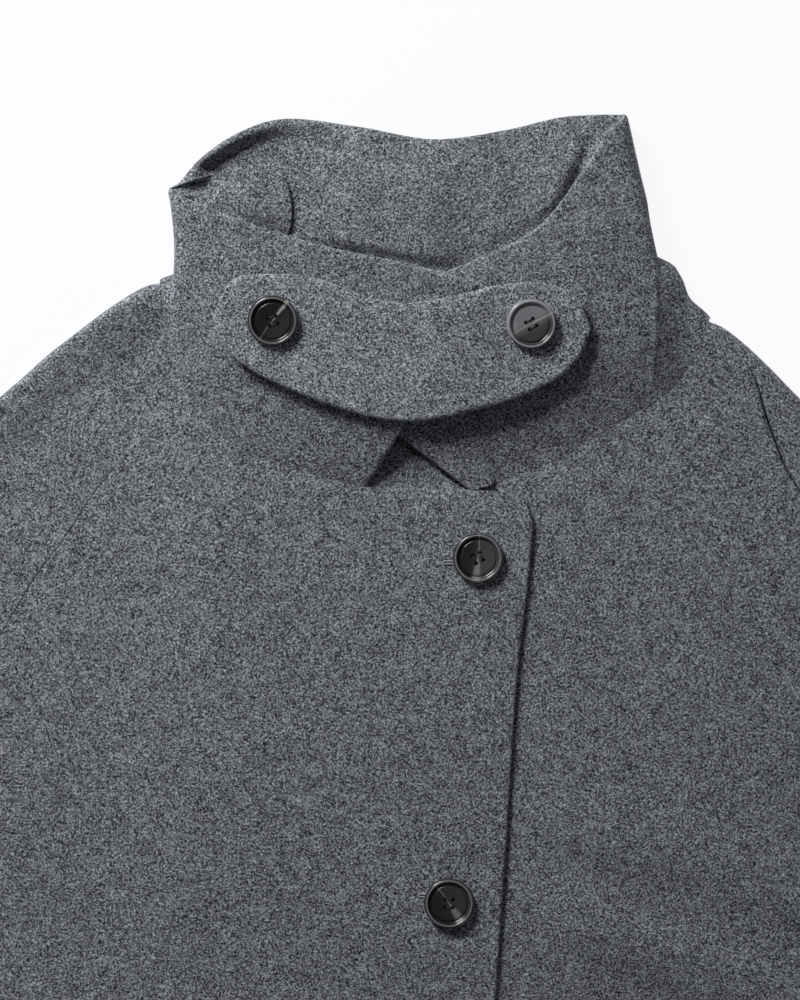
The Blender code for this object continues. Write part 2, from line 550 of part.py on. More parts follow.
def make_collar(material):
    stations = np.array([row[1:5] for row in COLLAR_STATIONS])
    spans = np.linalg.norm(np.diff(stations, axis=0), axis=2).mean(axis=1)
    knots = np.concatenate([[0.0], np.cumsum(np.sqrt(spans))])
    places = [0.0]
    for k, row in enumerate(COLLAR_STATIONS[:-1]):
        places += [knots[k] + (knots[k + 1] - knots[k]) * (s + 1) / row[5] for s in range(row[5])]
    lines = through(knots, stations, places)
    names = [row[0] for row in COLLAR_STATIONS]
    upright = [knots[names.index(name)] for name in ("left outline", "right outline")]
    butted = [min(abs(place - knot) for knot in upright) > NOTCH_REACH for place in places]
    for line, beside in zip(lines, butted):
        if beside:
            line[0, :2] = beside_neckline(line[0, :2])
    net = np.swapaxes(through(COLLAR_HEIGHTS, np.swapaxes(lines, 0, 1), COLLAR_ROWS), 0, 1)
    inner, outer = layers(net, -DOUBLE_CLOTH)
    if (outer - inner)[2, 4, 2] < 0:
        inner, outer = outer, inner
    for line, one, place in zip(net, inner, places):
        if min(abs(place - knot) for knot in upright) < PINCH_REACH:
            one += (line - one) * PINCH
    for line, one, other, beside in zip(net, inner, outer, butted):
        if beside:
            half = math.copysign(DOUBLE_CLOTH / 2, one[1, 2] - other[1, 2])
            one[0], other[0] = line[0] + (0.0, 0.0, half), line[0] - (0.0, 0.0, half)
    outer[..., 2] = np.maximum(outer[..., 2], 0.0)
    first, last = knots[names.index("left crease")], knots[names.index("back left")]
    share = (np.array(places) - first) / (last - first)
    push = 1 - np.abs(np.clip(2 * share - 1, -1, 1)) ** 3
    table = np.array(COLLAR_LOBE)
    reach = np.interp(COLLAR_ROWS, table[:, 0], table[:, 1])
    turn = np.radians(np.interp(COLLAR_ROWS, table[:, 0], table[:, 2]))
    inner[..., 0] += push[:, None] * (reach * np.cos(turn))[None]
    inner[..., 1] += push[:, None] * (reach * np.sin(turn))[None]
    return add_wall("collar", inner, outer, material)


def tree_of(thing):
    """For measuring how high a piece lies, in table millimetres."""
    points = [(v.co.x / MM, v.co.y / MM + ORIGIN_Y, v.co.z / MM) for v in thing.data.vertices]
    return BVHTree.FromPolygons(points, [tuple(p.vertices) for p in thing.data.polygons])


def top_at(tree, x, y):
    spot = tree.ray_cast(Vector((x, y, 300.0)), Vector((0.0, 0.0, -1.0)))[0]
    return -1.0 if spot is None else spot.z


def make_tab(collar, material):
    """Laid over the collar's ends: every point starts from the cloth under it, moved out."""
    table = np.array(TAB_LINE)
    run = lengths(table[:, :2])
    places = np.concatenate([run[:3], np.linspace(run[3], run[-4], 13), run[-3:]])
    middle = through(run, table, places)
    ahead = np.gradient(middle[:, :2], axis=0)
    ahead /= np.linalg.norm(ahead, axis=1)[:, None]
    beside = np.stack([-ahead[:, 1], ahead[:, 0]], axis=1)
    shares = np.array((-1.0, -0.88, -0.45, 0.0, 0.45, 0.88, 1.0))
    flat = middle[:, None, :2] + beside[:, None] * (middle[:, 2:3, None] * shares[None, :, None])
    tree = tree_of(collar)
    spread = [(r * math.cos(a), r * math.sin(a)) for r in (0.0, 4.0, 8.0)
              for a in np.linspace(0, 2 * math.pi, 8, endpoint=False)]
    under = np.array([[max(top_at(tree, x + dx, y + dy) for dx, dy in spread) for x, y in row] for row in flat])
    lift = under.copy()
    for _ in range(4):
        padded = np.pad(lift, 1, mode="edge")
        mean = (padded[:-2, 1:-1] + padded[2:, 1:-1] + padded[1:-1, :-2] + padded[1:-1, 2:]) / 4
        lift = np.maximum(mean, under)
    net = with_height(flat, lift + SEAM_GAP + DOUBLE_CLOTH / 2)
    return add_wall("collar_tab", *layers(net, DOUBLE_CLOTH), material)


def button_mesh():
    """A turned disc with a raised rim, a groove and a shallow dish, drilled with four holes."""
    ring = [(math.cos(a), math.sin(a)) for a in np.linspace(0, 2 * math.pi, BUTTON_SIDES, endpoint=False)]
    points = [(0.0, 0.0, BUTTON_PROFILE[0][1] * MM)]
    for radius, height in BUTTON_PROFILE[1:-1]:
        points += [(radius * c * MM, radius * s * MM, height * MM) for c, s in ring]
    points.append((0.0, 0.0, BUTTON_PROFILE[-1][1] * MM))
    faces = []
    for k in range(BUTTON_SIDES):
        after = (k + 1) % BUTTON_SIDES
        faces.append((0, 1 + after, 1 + k))
        for r in range(len(BUTTON_PROFILE) - 3):
            low, high = 1 + r * BUTTON_SIDES, 1 + (r + 1) * BUTTON_SIDES
            faces.append((low + k, low + after, high + after, high + k))
        last = 1 + (len(BUTTON_PROFILE) - 3) * BUTTON_SIDES
        faces.append((last + k, last + after, len(points) - 1))
    mesh = bpy.data.meshes.new("button")
    mesh.from_pydata(points, [], faces)
    return mesh


def make_button(name, support, x, y, turn, disc, drill, material):
    """Seated on the cloth beneath it, with the thread's small clearance."""
    tree = tree_of(support)
    rim = BUTTON_ACROSS / 2 - 1.5
    spots = [(r * math.cos(a), r * math.sin(a)) for r in (0.0, rim / 2, rim)
             for a in np.linspace(0, 2 * math.pi, 12, endpoint=False)]
    found = np.array([(dx, dy, top_at(tree, x + dx, y + dy)) for dx, dy in spots])
    slope = np.linalg.lstsq(np.column_stack([found[:, :2], np.ones(len(found))]), found[:, 2], rcond=None)[0]
    lift = np.max(found[:, 2] - found[:, :2] @ slope[:2]) + SEAM_GAP + 0.1
    up = Vector((-slope[0], -slope[1], 1.0)).normalized()
    button = bpy.data.objects.new(name, disc.copy())
    bpy.context.scene.collection.objects.link(button)
    button.data.materials.append(material)
    button.location = placed([(x, y, lift)])[0]
    button.rotation_mode = "QUATERNION"
    button.rotation_quaternion = (Vector((0, 0, 1)).rotation_difference(up)
                                  @ Vector((1, 0, 0)).rotation_difference(
                                      Vector((math.cos(math.radians(turn)), math.sin(math.radians(turn)), 0))))
    for sx in (-1, 1):
        for sy in (-1, 1):
            hole = bpy.data.objects.new(f"drill_{name}_{sx}_{sy}", drill)
            bpy.context.scene.collection.objects.link(hole)
            hole.parent = button
            hole.location = (sx * BUTTON_HOLE_OFFSET * MM, sy * BUTTON_HOLE_OFFSET * MM, 0.0)
            hole.hide_render = True
            hole.display_type = "WIRE"
            cut = button.modifiers.new("hole", "BOOLEAN")
            cut.operation = "DIFFERENCE"
            cut.object = hole
    button.data.shade_smooth()
    button.data.set_sharp_from_angle(angle=math.radians(50))
    return button


def drill_mesh():
    sides = 8
    ring = [(math.cos(a), math.sin(a)) for a in np.linspace(0, 2 * math.pi, sides, endpoint=False)]
    radius = BUTTON_HOLE / 2 * MM
    points = [(radius * c, radius * s, z) for z in (-2 * MM, 8 * MM) for c, s in ring]
    faces = [tuple(range(sides))[::-1], tuple(range(sides, 2 * sides))]
    faces += [(k, (k + 1) % sides, sides + (k + 1) % sides, sides + k) for k in range(sides)]
    mesh = bpy.data.meshes.new("drill")
    mesh.from_pydata(points, [], faces)
    return mesh


for thing in list(bpy.data.objects):
    bpy.data.objects.remove(thing, do_unlink=True)

ORIGIN_Y = (HEM_Y + COLLAR_TOP_Y) / 2
melton = colour_of("grey melange melton", (0.12, 0.13, 0.145), 0.95)
tab_melton = colour_of("grey melange melton, tab", (0.14, 0.15, 0.165), 0.95)
horn = colour_of("dark horn", (0.02, 0.02, 0.022), 0.3)

pieces = {"back": make_back(melton)}
for side in ("left", "right"):
    for half in make_sleeve(side, melton):
        pieces[half.name] = half
pieces["front_under"] = make_front("right", melton)
pieces["front_over"] = make_front("left", melton)
pieces["collar"] = make_collar(melton)
pieces["collar_tab"] = make_tab(pieces["collar"], tab_melton)
disc, drill = button_mesh(), drill_mesh()
for name, carrier, x, y, turn in BUTTONS:
    pieces[name] = make_button(name, pieces[carrier], x, y, turn, disc, drill, horn)
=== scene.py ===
"""A short grey wool coat laid flat on its back, buttoned, with the collar turned up.

The coat is laid out in millimetres from its neck points, +X to the viewer's right and +Y towards
the collar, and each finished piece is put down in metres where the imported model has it.
"""

import math

import bpy
import numpy as np
from mathutils import Matrix, Vector, noise
from mathutils.bvhtree import BVHTree
from numpy.linalg import norm


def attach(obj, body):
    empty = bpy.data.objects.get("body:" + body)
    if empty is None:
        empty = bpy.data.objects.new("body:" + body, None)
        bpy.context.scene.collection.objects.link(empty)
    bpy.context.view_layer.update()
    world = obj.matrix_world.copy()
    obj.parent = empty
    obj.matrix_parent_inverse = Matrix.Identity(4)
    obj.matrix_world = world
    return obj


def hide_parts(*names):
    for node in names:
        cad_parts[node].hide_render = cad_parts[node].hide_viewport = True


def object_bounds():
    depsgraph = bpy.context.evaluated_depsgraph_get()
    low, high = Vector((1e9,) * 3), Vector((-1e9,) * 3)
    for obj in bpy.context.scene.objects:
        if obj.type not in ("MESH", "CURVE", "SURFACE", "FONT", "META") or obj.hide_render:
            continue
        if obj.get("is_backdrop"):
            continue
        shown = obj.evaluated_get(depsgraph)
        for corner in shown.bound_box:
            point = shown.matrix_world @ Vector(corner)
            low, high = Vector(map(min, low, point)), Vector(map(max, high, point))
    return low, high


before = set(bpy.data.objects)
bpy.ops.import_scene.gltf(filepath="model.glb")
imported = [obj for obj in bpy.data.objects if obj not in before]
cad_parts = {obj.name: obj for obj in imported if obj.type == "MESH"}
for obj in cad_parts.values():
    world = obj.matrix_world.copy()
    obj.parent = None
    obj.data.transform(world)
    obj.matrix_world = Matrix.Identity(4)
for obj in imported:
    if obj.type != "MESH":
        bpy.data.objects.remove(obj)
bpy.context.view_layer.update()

# The surface, the light and the camera.
# The coat lies on a large white sheet lit from below, so that it throws no shadow there. A soft
# window stands low to the upper left, and the camera looks straight down, turned a little.
MM = 0.001
NECK_POINTS_Y = 0.269  # metres from the model's origin up to the line of the neck points
VIEW_CENTRE = (-10.1, -97.4)
VIEW_HEIGHT = 500.0  # millimetres of the coat from top to bottom of the picture
VIEW_TURN = 4.0  # degrees
CAMERA_HEIGHT = 2.2
CLOTH_LEVEL = 0.008  # where the picture's scale is exact
SENSOR = 36.0
ROOM_COLOUR, ROOM_STRENGTH = (0.95, 0.98, 1.0), 0.10
WINDOW_PLACE, WINDOW_SIZE, WINDOW_POWER = (-0.82, 0.98, 0.78), 0.5, 24.8
SHEET_HALF = 4.0
SHEET_GREY, SHEET_GLOW, GLOW_STRENGTH = (0.06, 0.06, 0.06), (0.985, 0.992, 1.0), 0.93

scene = bpy.context.scene
scene.view_settings.view_transform = "Standard"


def put_in_scene(name, data):
    """A new object that holds the data of a mesh, camera or lamp."""
    thing = bpy.data.objects.new(name, data)
    scene.collection.objects.link(thing)
    return thing


def put_mesh(name, points, faces, material=None):
    """A new object with these points, in metres, and faces."""
    mesh = bpy.data.meshes.new(name)
    mesh.from_pydata(points, [], faces)
    if material is not None:
        mesh.materials.append(material)
    return put_in_scene(name, mesh)


def feed(node, inputs):
    """Gives a shader node's inputs their values, or links them to the outputs that drive them."""
    for name, value in inputs.items():
        if isinstance(value, bpy.types.NodeSocket):
            node.id_data.links.new(value, node.inputs[name])
        else:
            node.inputs[name].default_value = value
    return node


def new_material(name, inputs):
    """A material whose shader has these inputs, and the shader."""
    made = bpy.data.materials.new(name)
    made.use_nodes = True
    return made, feed(made.node_tree.nodes["Principled BSDF"], inputs)


camera = put_in_scene("camera", bpy.data.cameras.new("camera"))
camera.data.sensor_width = SENSOR
camera.data.lens = SENSOR * CAMERA_HEIGHT / (VIEW_HEIGHT * MM)
camera.location = (VIEW_CENTRE[0] * MM, VIEW_CENTRE[1] * MM + NECK_POINTS_Y, CLOTH_LEVEL + CAMERA_HEIGHT)
camera.rotation_euler = (0.0, 0.0, math.radians(VIEW_TURN))
scene.camera = camera

room = bpy.data.worlds.new("white room")
room.use_nodes = True
feed(room.node_tree.nodes["Background"], {"Color": (*ROOM_COLOUR, 1.0), "Strength": ROOM_STRENGTH})
scene.world = room

lamp = bpy.data.lights.new("window", "AREA")
lamp.shape = "SQUARE"
lamp.size = WINDOW_SIZE
lamp.energy = WINDOW_POWER
window = put_in_scene("window", lamp)
window.location = Vector((camera.location.x, camera.location.y, 0.0)) + Vector(WINDOW_PLACE)
window.rotation_euler = (-Vector(WINDOW_PLACE)).to_track_quat("-Z", "Y").to_euler()

white = new_material("matt white", {
    "Base Color": (*SHEET_GREY, 1.0), "Roughness": 0.9, "Specular IOR Level": 0.1,
    "Emission Color": (*SHEET_GLOW, 1.0), "Emission Strength": GLOW_STRENGTH,
})[0]
corners = [(x * SHEET_HALF, y * SHEET_HALF, 0.0) for x, y in ((-1, -1), (1, -1), (1, 1), (-1, 1))]
white_sheet = put_mesh("white_sheet", corners, [(0, 1, 2, 3)], white)
white_sheet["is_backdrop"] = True


# The cloth.
# Wool melton, 2.5 mm thick, woven from dark and pale fibres spun together, then fulled and
# brushed. It is matt, speckled grey from close by, and its nap is a little paler seen from the side.
CLOTH = 2.5
FIBRES = (
    # how high in the flecks, colour
    (0.420, (0.008, 0.009, 0.011)), (0.500, (0.084, 0.089, 0.100)), (0.608, (0.600, 0.627, 0.690)),
)
FLECK_SCALE = 1250.0  # flecks to a metre, about
CLOUD_SCALE = FLECK_SCALE / 9
CLOUD_SHARE = 0.08  # how far the clouds shift the flecks up and down in all
SHEEN_COLOUR = (0.85, 0.9, 1.0)
NAP_STRENGTH, NAP_HEIGHT = 0.5, 0.0004


def new_node(tree, kind, inputs, **settings):
    """A shader node with its settings and inputs."""
    node = tree.nodes.new("ShaderNode" + kind)
    for name, value in settings.items():
        setattr(node, name, value)
    return feed(node, inputs)


def maths(tree, operation, *values):
    """The result of one sum."""
    return new_node(tree, "Math", dict(enumerate(values)), operation=operation).outputs[0]


def melton_cloth(name, painted_light_factor=1.0):
    """Speckled wool: two sizes of fleck set the colour, and raise the nap a little."""
    cloth, shader = new_material(name, {
        "Roughness": 0.95, "Specular IOR Level": 0.15,
        "Sheen Weight": 0.60, "Sheen Roughness": 0.35, "Sheen Tint": (*SHEEN_COLOUR, 1.0),
    })
    tree = cloth.node_tree
    place = new_node(tree, "TexCoord", {}).outputs["Object"]
    flecks = new_node(tree, "TexNoise", {
        "Vector": place, "Scale": FLECK_SCALE, "Detail": 2.0, "Roughness": 0.75, "Distortion": 1.2,
    }).outputs["Fac"]
    clouds = new_node(tree, "TexNoise", {"Vector": place, "Scale": CLOUD_SCALE, "Detail": 2.0}).outputs["Fac"]
    drift = maths(tree, "MULTIPLY_ADD", clouds, CLOUD_SHARE, -CLOUD_SHARE / 2)
    fibres = new_node(tree, "ValToRGB", {"Fac": maths(tree, "ADD", flecks, drift)})
    stops = fibres.color_ramp.elements
    stops.new(FIBRES[1][0])
    # A factor above 1 paints the cloth lighter, as painted light.
    for stop, (height, colour) in zip(stops, FIBRES):
        stop.position = height
        stop.color = (*[c * painted_light_factor for c in colour], 1.0)
    nap = new_node(tree, "Bump", {"Strength": NAP_STRENGTH, "Distance": NAP_HEIGHT, "Height": flecks})
    feed(shader, {"Base Color": fibres.outputs["Color"], "Normal": nap.outputs["Normal"]})
    return cloth


melton = melton_cloth("grey melange melton")


# The back.
# One piece of melton that lies on the sheet under everything else. Its side seams and raglan
# seams are sewn right sides together and pressed open, and the hem is turned up inside.
SEAM_GAP = 0.03  # between two pieces sewn together
LAYER_GAP = 0.3  # between two layers that lie on each other
LOWER = CLOTH / 2  # heights of the middle of each layer
UPPER = LOWER + CLOTH + LAYER_GAP
HALF_CHEST, ARMPIT_Y = 270.0, -400.0
HALF_HEM, HEM_Y, HEM_RISE = 290.0, -640.0, 6.0
BACK_NECK = (95.0, -14.0)
NECK_POINT = (137.5, 2.6)
SIDE_SEAM = ((HALF_HEM, HEM_Y + HEM_RISE), (281, -560), (274, -470), (HALF_CHEST, ARMPIT_Y))
BACK_RAGLAN = ((HALF_CHEST, ARMPIT_Y), (250, -340), (228, -270), (200, -195), (165, -115), (130, -55),
               BACK_NECK)
BACK_NECK_LINE = ((0, -25), (50, -22.4), BACK_NECK, (118, -8.4), NECK_POINT)
SIDE_ROLL, ARMPIT_ROLL = 3.6, 1.8  # middle radius of the body's rolled edges
ROLL_STEPS = 6
CROWD = 1.6  # rows crowd towards the neck by this power
SIDE_SHARES = np.linspace(0.0, 1.0, 25)
RAGLAN_SHARES = 1.0 - np.linspace(1.0, 0.0, 49) ** CROWD
BEND_ENDS = 0.9  # the side is rolled up to this share of the way to the armpit
MEET_REACH = 26.0  # how far from a border that it meets a moved line slides along it


def ease(value, start, end):
    """From 0 at start to 1 at end, gently at both."""
    share = np.clip((np.asarray(value, float) - start) / (end - start), 0.0, 1.0)
    return share * share * (3.0 - 2.0 * share)


def curve(knots, values, at):
    """A smooth curve through the values, one at each knot, read at other places."""
    knots, values = np.asarray(knots, float), np.asarray(values, float)
    at = np.clip(np.asarray(at, float), knots[0], knots[-1])
    spans = np.diff(knots)
    rises = np.diff(values, axis=0) / spans.reshape((-1,) + (1,) * (values.ndim - 1))
    slopes = np.empty_like(values)
    slopes[0], slopes[-1] = rises[0], rises[-1]
    for k in range(1, len(knots) - 1):
        slopes[k] = (rises[k - 1] * spans[k] + rises[k] * spans[k - 1]) / (spans[k - 1] + spans[k])
    piece = np.clip(np.searchsorted(knots, at, side="right") - 1, 0, len(spans) - 1)
    shape = at.shape + (1,) * (values.ndim - 1)
    span = spans[piece].reshape(shape)
    t = ((at - knots[piece]) / spans[piece]).reshape(shape)
    return (values[piece] * (1 + 2 * t) * (1 - t) ** 2 + slopes[piece] * span * t * (1 - t) ** 2
            + values[piece + 1] * t * t * (3 - 2 * t) + slopes[piece + 1] * span * t * t * (t - 1))


def distances(points):
    """Distance along a line of points from its first, or up each column of a net."""
    steps = norm(np.diff(np.asarray(points, float), axis=0), axis=-1)
    return np.concatenate([np.zeros_like(steps[:1]), np.cumsum(steps, axis=0)])


def cut_line(points, shares, first=0, last=-1):
    """Points of the pattern's line from one of its marks to another, at shares of that length."""
    run = distances(points)
    return curve(run, points, run[first] + (run[last] - run[first]) * np.asarray(shares))


def line_between(points, one, other, shares):
    """Points of the pattern's line from beside one place to beside another, at shares between."""
    fine = np.linspace(0.0, 1.0, 401)
    dense = cut_line(points, fine)
    first = fine[np.argmin(norm(dense - one, axis=1))]
    last = fine[np.argmin(norm(dense - other, axis=1))]
    return cut_line(points, first + (last - first) * np.asarray(shares))


def joined_lines(first, second):
    """Two borders that meet at a corner, the shares of their length, and the share at the corner."""
    line = np.concatenate([first, second[1:]])
    run = distances(line)
    return line, run / run[-1], run[len(first) - 1] / run[-1]


def unit(vectors):
    """The same directions, each 1 long."""
    return vectors / norm(vectors, axis=-1)[..., None]


def beside(line, distance, meets=(None, None)):
    """The line moved sideways, to the right of its direction, and the way each point went.

    An end that meets a border slides along it, and the points near that end slide with it.
    """
    ahead = unit(np.gradient(line, axis=0))
    right = np.stack([ahead[:, 1], -ahead[:, 0]], axis=1)
    ways = right.copy()
    run = distances(line)
    for end, border, away in zip((0, -1), meets, (run, run[-1] - run)):
        if border is not None:
            chord = np.subtract(border[1], border[0])
            slide = (chord @ ahead[end]) / (chord @ right[end])
            ways += ahead * (slide * (1 - ease(away, 0.0, MEET_REACH)))[:, None]
    return line + ways * np.reshape(distance, (-1, 1)), ways


def spread(lit_and_shaded_sides, ends, across, up):
    """The panel's points, filled in between its four borders."""
    (start, finish), (low, high) = lit_and_shaded_sides, ends
    u = np.reshape(across, (1, -1, 1))
    v = np.reshape(up, (-1, 1, 1))
    low_bend = low[None] - ((1 - u) * low[0] + u * low[-1])
    high_bend = high[None] - ((1 - u) * high[0] + u * high[-1])
    return (1 - u) * start[:, None] + u * finish[:, None] + (1 - v) ** 3 * low_bend + v ** 3 * high_bend


def at_height(flat, height):
    """Places on the flat, each with its height."""
    return np.concatenate([flat, np.broadcast_to(height, flat.shape[:2])[..., None]], axis=2)


def rolled(edge, outwards, radius, turn_up, bend, quarters, ghost):
    """Columns that carry a panel on round its rolled edge, or flat up to a seam where bend is 0."""
    columns = []
    reach = radius + CLOTH / 2 - SEAM_GAP / 2
    angles = [90.0 * k / ROLL_STEPS for k in range(1, quarters * ROLL_STEPS + 1)]
    for angle in angles + [angles[-1] + 90.0 / ROLL_STEPS] * ghost:
        turned = math.radians(angle)
        out = bend * radius * math.sin(turned) + (1 - bend) * reach * angle / 90.0
        rise = bend * turn_up * radius * (1 - math.cos(turned))
        if angle >= 90.0 and quarters == 1:
            rise = rise - bend * turn_up * SEAM_GAP / 2
        columns.append(np.column_stack([edge[:, :2] + outwards * out[:, None], edge[:, 2] + rise]))
    return columns


def two_faces(net, thickness, ghosts=(0, 0), cut=None):
    """The lower or inner face and the upper or outer face of cloth whose middle is the net."""
    normal = unit(np.cross(np.gradient(net, axis=1), np.gradient(net, axis=0)))
    if cut is not None:
        normal[:, cut - 1] = normal[:, cut] = unit(normal[:, cut - 1] + normal[:, cut])
    keep = slice(ghosts[0], net.shape[1] - ghosts[1])
    return (net - normal * thickness / 2)[:, keep], (net + normal * thickness / 2)[:, keep]


def from_borders(net):
    """Distance of every point from the net's first and last column, and first and last row."""
    across, up = distances(net.swapaxes(0, 1)).T, distances(net)
    return across, across[:, -1:] - across, up, up[-1:] - up


# How cloth rounds off at a border: width and depth of the rounding, and the dip beside it.
# A seam turns down, the overarm seam has a lip in front, and a free edge is turned in, so that
# both of its faces round off.
BORDERS = {
    "plain": (1.0, 0.0, 0.0), "seam": (2.4, 0.42, 0.15), "lip": (1.4, 0.5, -0.8), "free": (1.5, 1.05, 0.0),
}
DIP_REACH = 7.0
THINNEST = 0.42  # share of the thickness that a turned edge may lose on each face
EDGE_STEPS = (0.0, 0.1, 0.28, 0.55, 0.95, 1.5, 2.2)  # columns this far from a border
EDGE_ROOM = 12.0  # and the others make room for them within this
NARROW = 0.45  # or within this share of a narrow piece
SHARP = math.radians(55.0)  # a cut edge that meets its neighbour square stays sharp


def finer(low, high, first, last):
    """The two faces with more columns near the first and last."""
    made = ([], [])
    for row, place in enumerate(distances(((low + high) / 2).swapaxes(0, 1)).T):
        wanted = place
        reach = min(EDGE_ROOM, place[-1] * NARROW)
        near = np.array(EDGE_STEPS) * min(1.0, reach / EDGE_ROOM * 2)
        for wants in (first, last):
            if wants:
                room = near[-1] + wanted * (1 - near[-1] / reach)
                wanted = np.concatenate([near[:-1], np.where(wanted < reach, room, wanted)])
            wanted = place[-1] - wanted[::-1]
        at = np.interp(wanted, place, np.arange(len(place)))
        before = np.minimum(at.astype(int), len(place) - 2)
        share = (at - before)[:, None]
        for face, fine in zip((low[row], high[row]), made):
            fine.append(face[before] * (1 - share) + face[before + 1] * share)
    return np.array(made[0]), np.array(made[1])


def round_off(low, high, borders, scale):
    """Rounds the cloth off at its first and last column, and first and last row."""
    low, high = finer(low, high, *borders[:2])
    turned = finer(np.swapaxes(low, 0, 1), np.swapaxes(high, 0, 1), *borders[2:])
    low, high = np.swapaxes(turned[0], 0, 1), np.swapaxes(turned[1], 0, 1)
    across, thick = unit(high - low), norm(high - low, axis=2)
    top, bottom = np.zeros(low.shape[:2]), np.zeros(low.shape[:2])
    for distance, kind in zip(from_borders((low + high) / 2), borders):
        if kind is None:
            continue
        wide, deep, dip = BORDERS[kind]
        inside = np.clip(1 - distance / (wide * scale), 0.0, 1.0)
        deepest = np.minimum(deep * scale, THINNEST * thick) if kind == "free" else deep * scale
        drop = deepest * (1 - np.sqrt(1 - inside ** 2)) + dip * (1 - ease(distance, 0.0, DIP_REACH))
        top = np.where(np.abs(drop) > np.abs(top), drop, top)
        if kind == "free":
            bottom = np.maximum(bottom, drop)
    return low + across * bottom[..., None], high - across * top[..., None]


def sewn_piece(name, low, high, borders, scale=1.0, cloth=melton, slot="melton"):
    """The closed piece of cloth between its two faces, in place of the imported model's node."""
    low, high = round_off(low, high, borders, scale)
    points = np.concatenate([low.reshape(-1, 3), high.reshape(-1, 3)])
    top = len(points) // 2
    net = np.arange(top).reshape(low.shape[:2])
    corners = np.stack([net[:-1, :-1], net[:-1, 1:], net[1:, 1:], net[1:, :-1]], axis=-1).reshape(-1, 4)
    faces = corners[:, ::-1].tolist() + (corners + top).tolist()
    rim = np.concatenate([net[0], net[1:, -1], net[-1, -2::-1], net[-2:0:-1, 0]]).tolist()
    faces += [(k, after, after + top, k + top) for k, after in zip(rim, rim[1:] + rim[:1])]
    if np.cross(high[0, 1] - high[0, 0], high[1, 0] - high[0, 0]) @ (high[0, 0] - low[0, 0]) < 0:
        faces = [face[::-1] for face in faces]
    piece = put_mesh(name, (points * MM + (0.0, NECK_POINTS_Y, 0.0)).tolist(), faces, cloth)
    piece.data.shade_smooth()
    piece.data.set_sharp_from_angle(angle=SHARP)
    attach(piece, "root")
    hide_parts(name)
    return piece


def mirrored(line):
    """The line on the coat's other side."""
    return line * (-1, 1)


def body_border(raglan):
    """The body's border from hem to neck, its shares, and the radius and bend of its rolled edge."""
    border, up, armpit = joined_lines(cut_line(SIDE_SEAM, SIDE_SHARES), raglan)
    radius = ARMPIT_ROLL + (SIDE_ROLL - ARMPIT_ROLL) * (1 - ease(up, 0.0, armpit))
    return border, up, radius, (up <= armpit * BEND_ENDS).astype(float)


border, up, radius, bend = body_border(cut_line(BACK_RAGLAN, RAGLAN_SHARES))
right, out = beside(border, -(radius + CLOTH / 2), (None, cut_line(BACK_NECK_LINE, (0.9, 1.0), 0, 2)))
half_neck = line_between(BACK_NECK_LINE, BACK_NECK_LINE[0], right[-1], np.linspace(0.0, 1.0, 25))
left = mirrored(right)
neck = np.concatenate([mirrored(half_neck)[:0:-1], half_neck]) - (0.0, SEAM_GAP / 2)
across = np.linspace(0.0, 1.0, len(neck))
hem = cut_line(((-HALF_HEM, HEM_Y + HEM_RISE), (0.0, HEM_Y), (HALF_HEM, HEM_Y + HEM_RISE)), across)
hem[0], hem[-1], neck[0], neck[-1] = left[0], right[0], left[-1], right[-1]
net = at_height(spread((left, right), (hem, neck), across, up), LOWER)
end = rolled(net[:, -1], out, radius, 1, bend, 1, 1)
start = rolled(net[:, 0], mirrored(out), radius, 1, bend, 1, 1)
net = np.stack([*start[::-1], *net.swapaxes(0, 1), *end], axis=1)
back = sewn_piece("back", *two_faces(net, CLOTH, (1, 1)), (None, None, "free", None))


# The sleeves.
# Raglan sleeves in two parts, sewn along the top of the arm. Each lies folded along that line,
# its back half beneath and wrapped over the fold, its front half on top; the cuff is turned in.
CUFF_OUTER, CUFF_INNER = (601.0, -522.0), (485.0, -617.0)
SLEEVE_ROLL = 3.2  # middle radius of the fold along the arm
ROLL_REACH = 34.0  # how far in from a rolled edge the cloth settles
SEAM_STEP = 1.8  # the back half lies this much lower at the overarm seam
UNDERARM = ((HALF_CHEST, ARMPIT_Y), (322, -456), (400, -533), CUFF_INNER)
ARM_OUTLINE = (NECK_POINT, (143.5, 1), (151, -3.4), (160, -10), (170.5, -18.8), (181, -28.2), (191.5, -37.5),
               (201.5, -48), (213.2, -59.5), (250, -99), (300, -157), (450, -339), CUFF_OUTER)
FRONT_RAGLAN = ((HALF_CHEST, ARMPIT_Y), (257, -350), (245, -300), (232, -250), (218, -207), (202, -172),
                (188.5, -146.5), (175.5, -126), (164, -105.5), (148.5, -83.5), (134, -62.5))
# The overarm seam: distance down the arm, and how far inside the outline. The right sleeve has
# rolled forwards, so that more of its back half shows.
OVERARM_SEAM = {
    "left": ((0, 5.2), (40, 5.2), (76, 5.2), (84, 5.6), (100, 8), (115, 12), (160, 18), (720, 18)),
    "right": ((0, 5.2), (22, 6), (40, 12), (57, 21), (70, 26), (92, 31.5), (160, 36), (720, 30)),
}
# Necklines of the fronts, and of the sleeve heads beyond them: distance outwards, y
FRONT_NECK = {
    "left": ((121, -50.6), (110.4, -60.8), (102.5, -69.5), (93.3, -76.2), (75.8, -83), (57.4, -87.2),
             (27.5, -92.1), (0, -91), (-27, -89.8), (-45, -90.5), (-52.2, -93.2)),
    "right": ((118, -36.6), (111.7, -40.6), (105, -45.8), (97.4, -51), (84.5, -60), (70.4, -69.8), (46, -81),
              (24, -89.8), (6.6, -81), (-11.6, -70), (-35, -62), (-57, -64)),
}
SLEEVE_NECK = {
    "left": (NECK_POINT, (135.6, -9), (133.4, -19), (130, -30), (126.5, -40), (121, -50.6)),
    "right": (NECK_POINT, (134.6, -8.5), (131.4, -17.4), (126.8, -25.6), (122.3, -32), (118, -36.6)),
}
UNDERARM_SHARES = np.linspace(0.0, 1.0, 33)
SLEEVE_ACROSS = np.linspace(0.0, 1.0, 27)
ARMPIT_SHARE = 0.55  # share of the arm's outline opposite the armpit
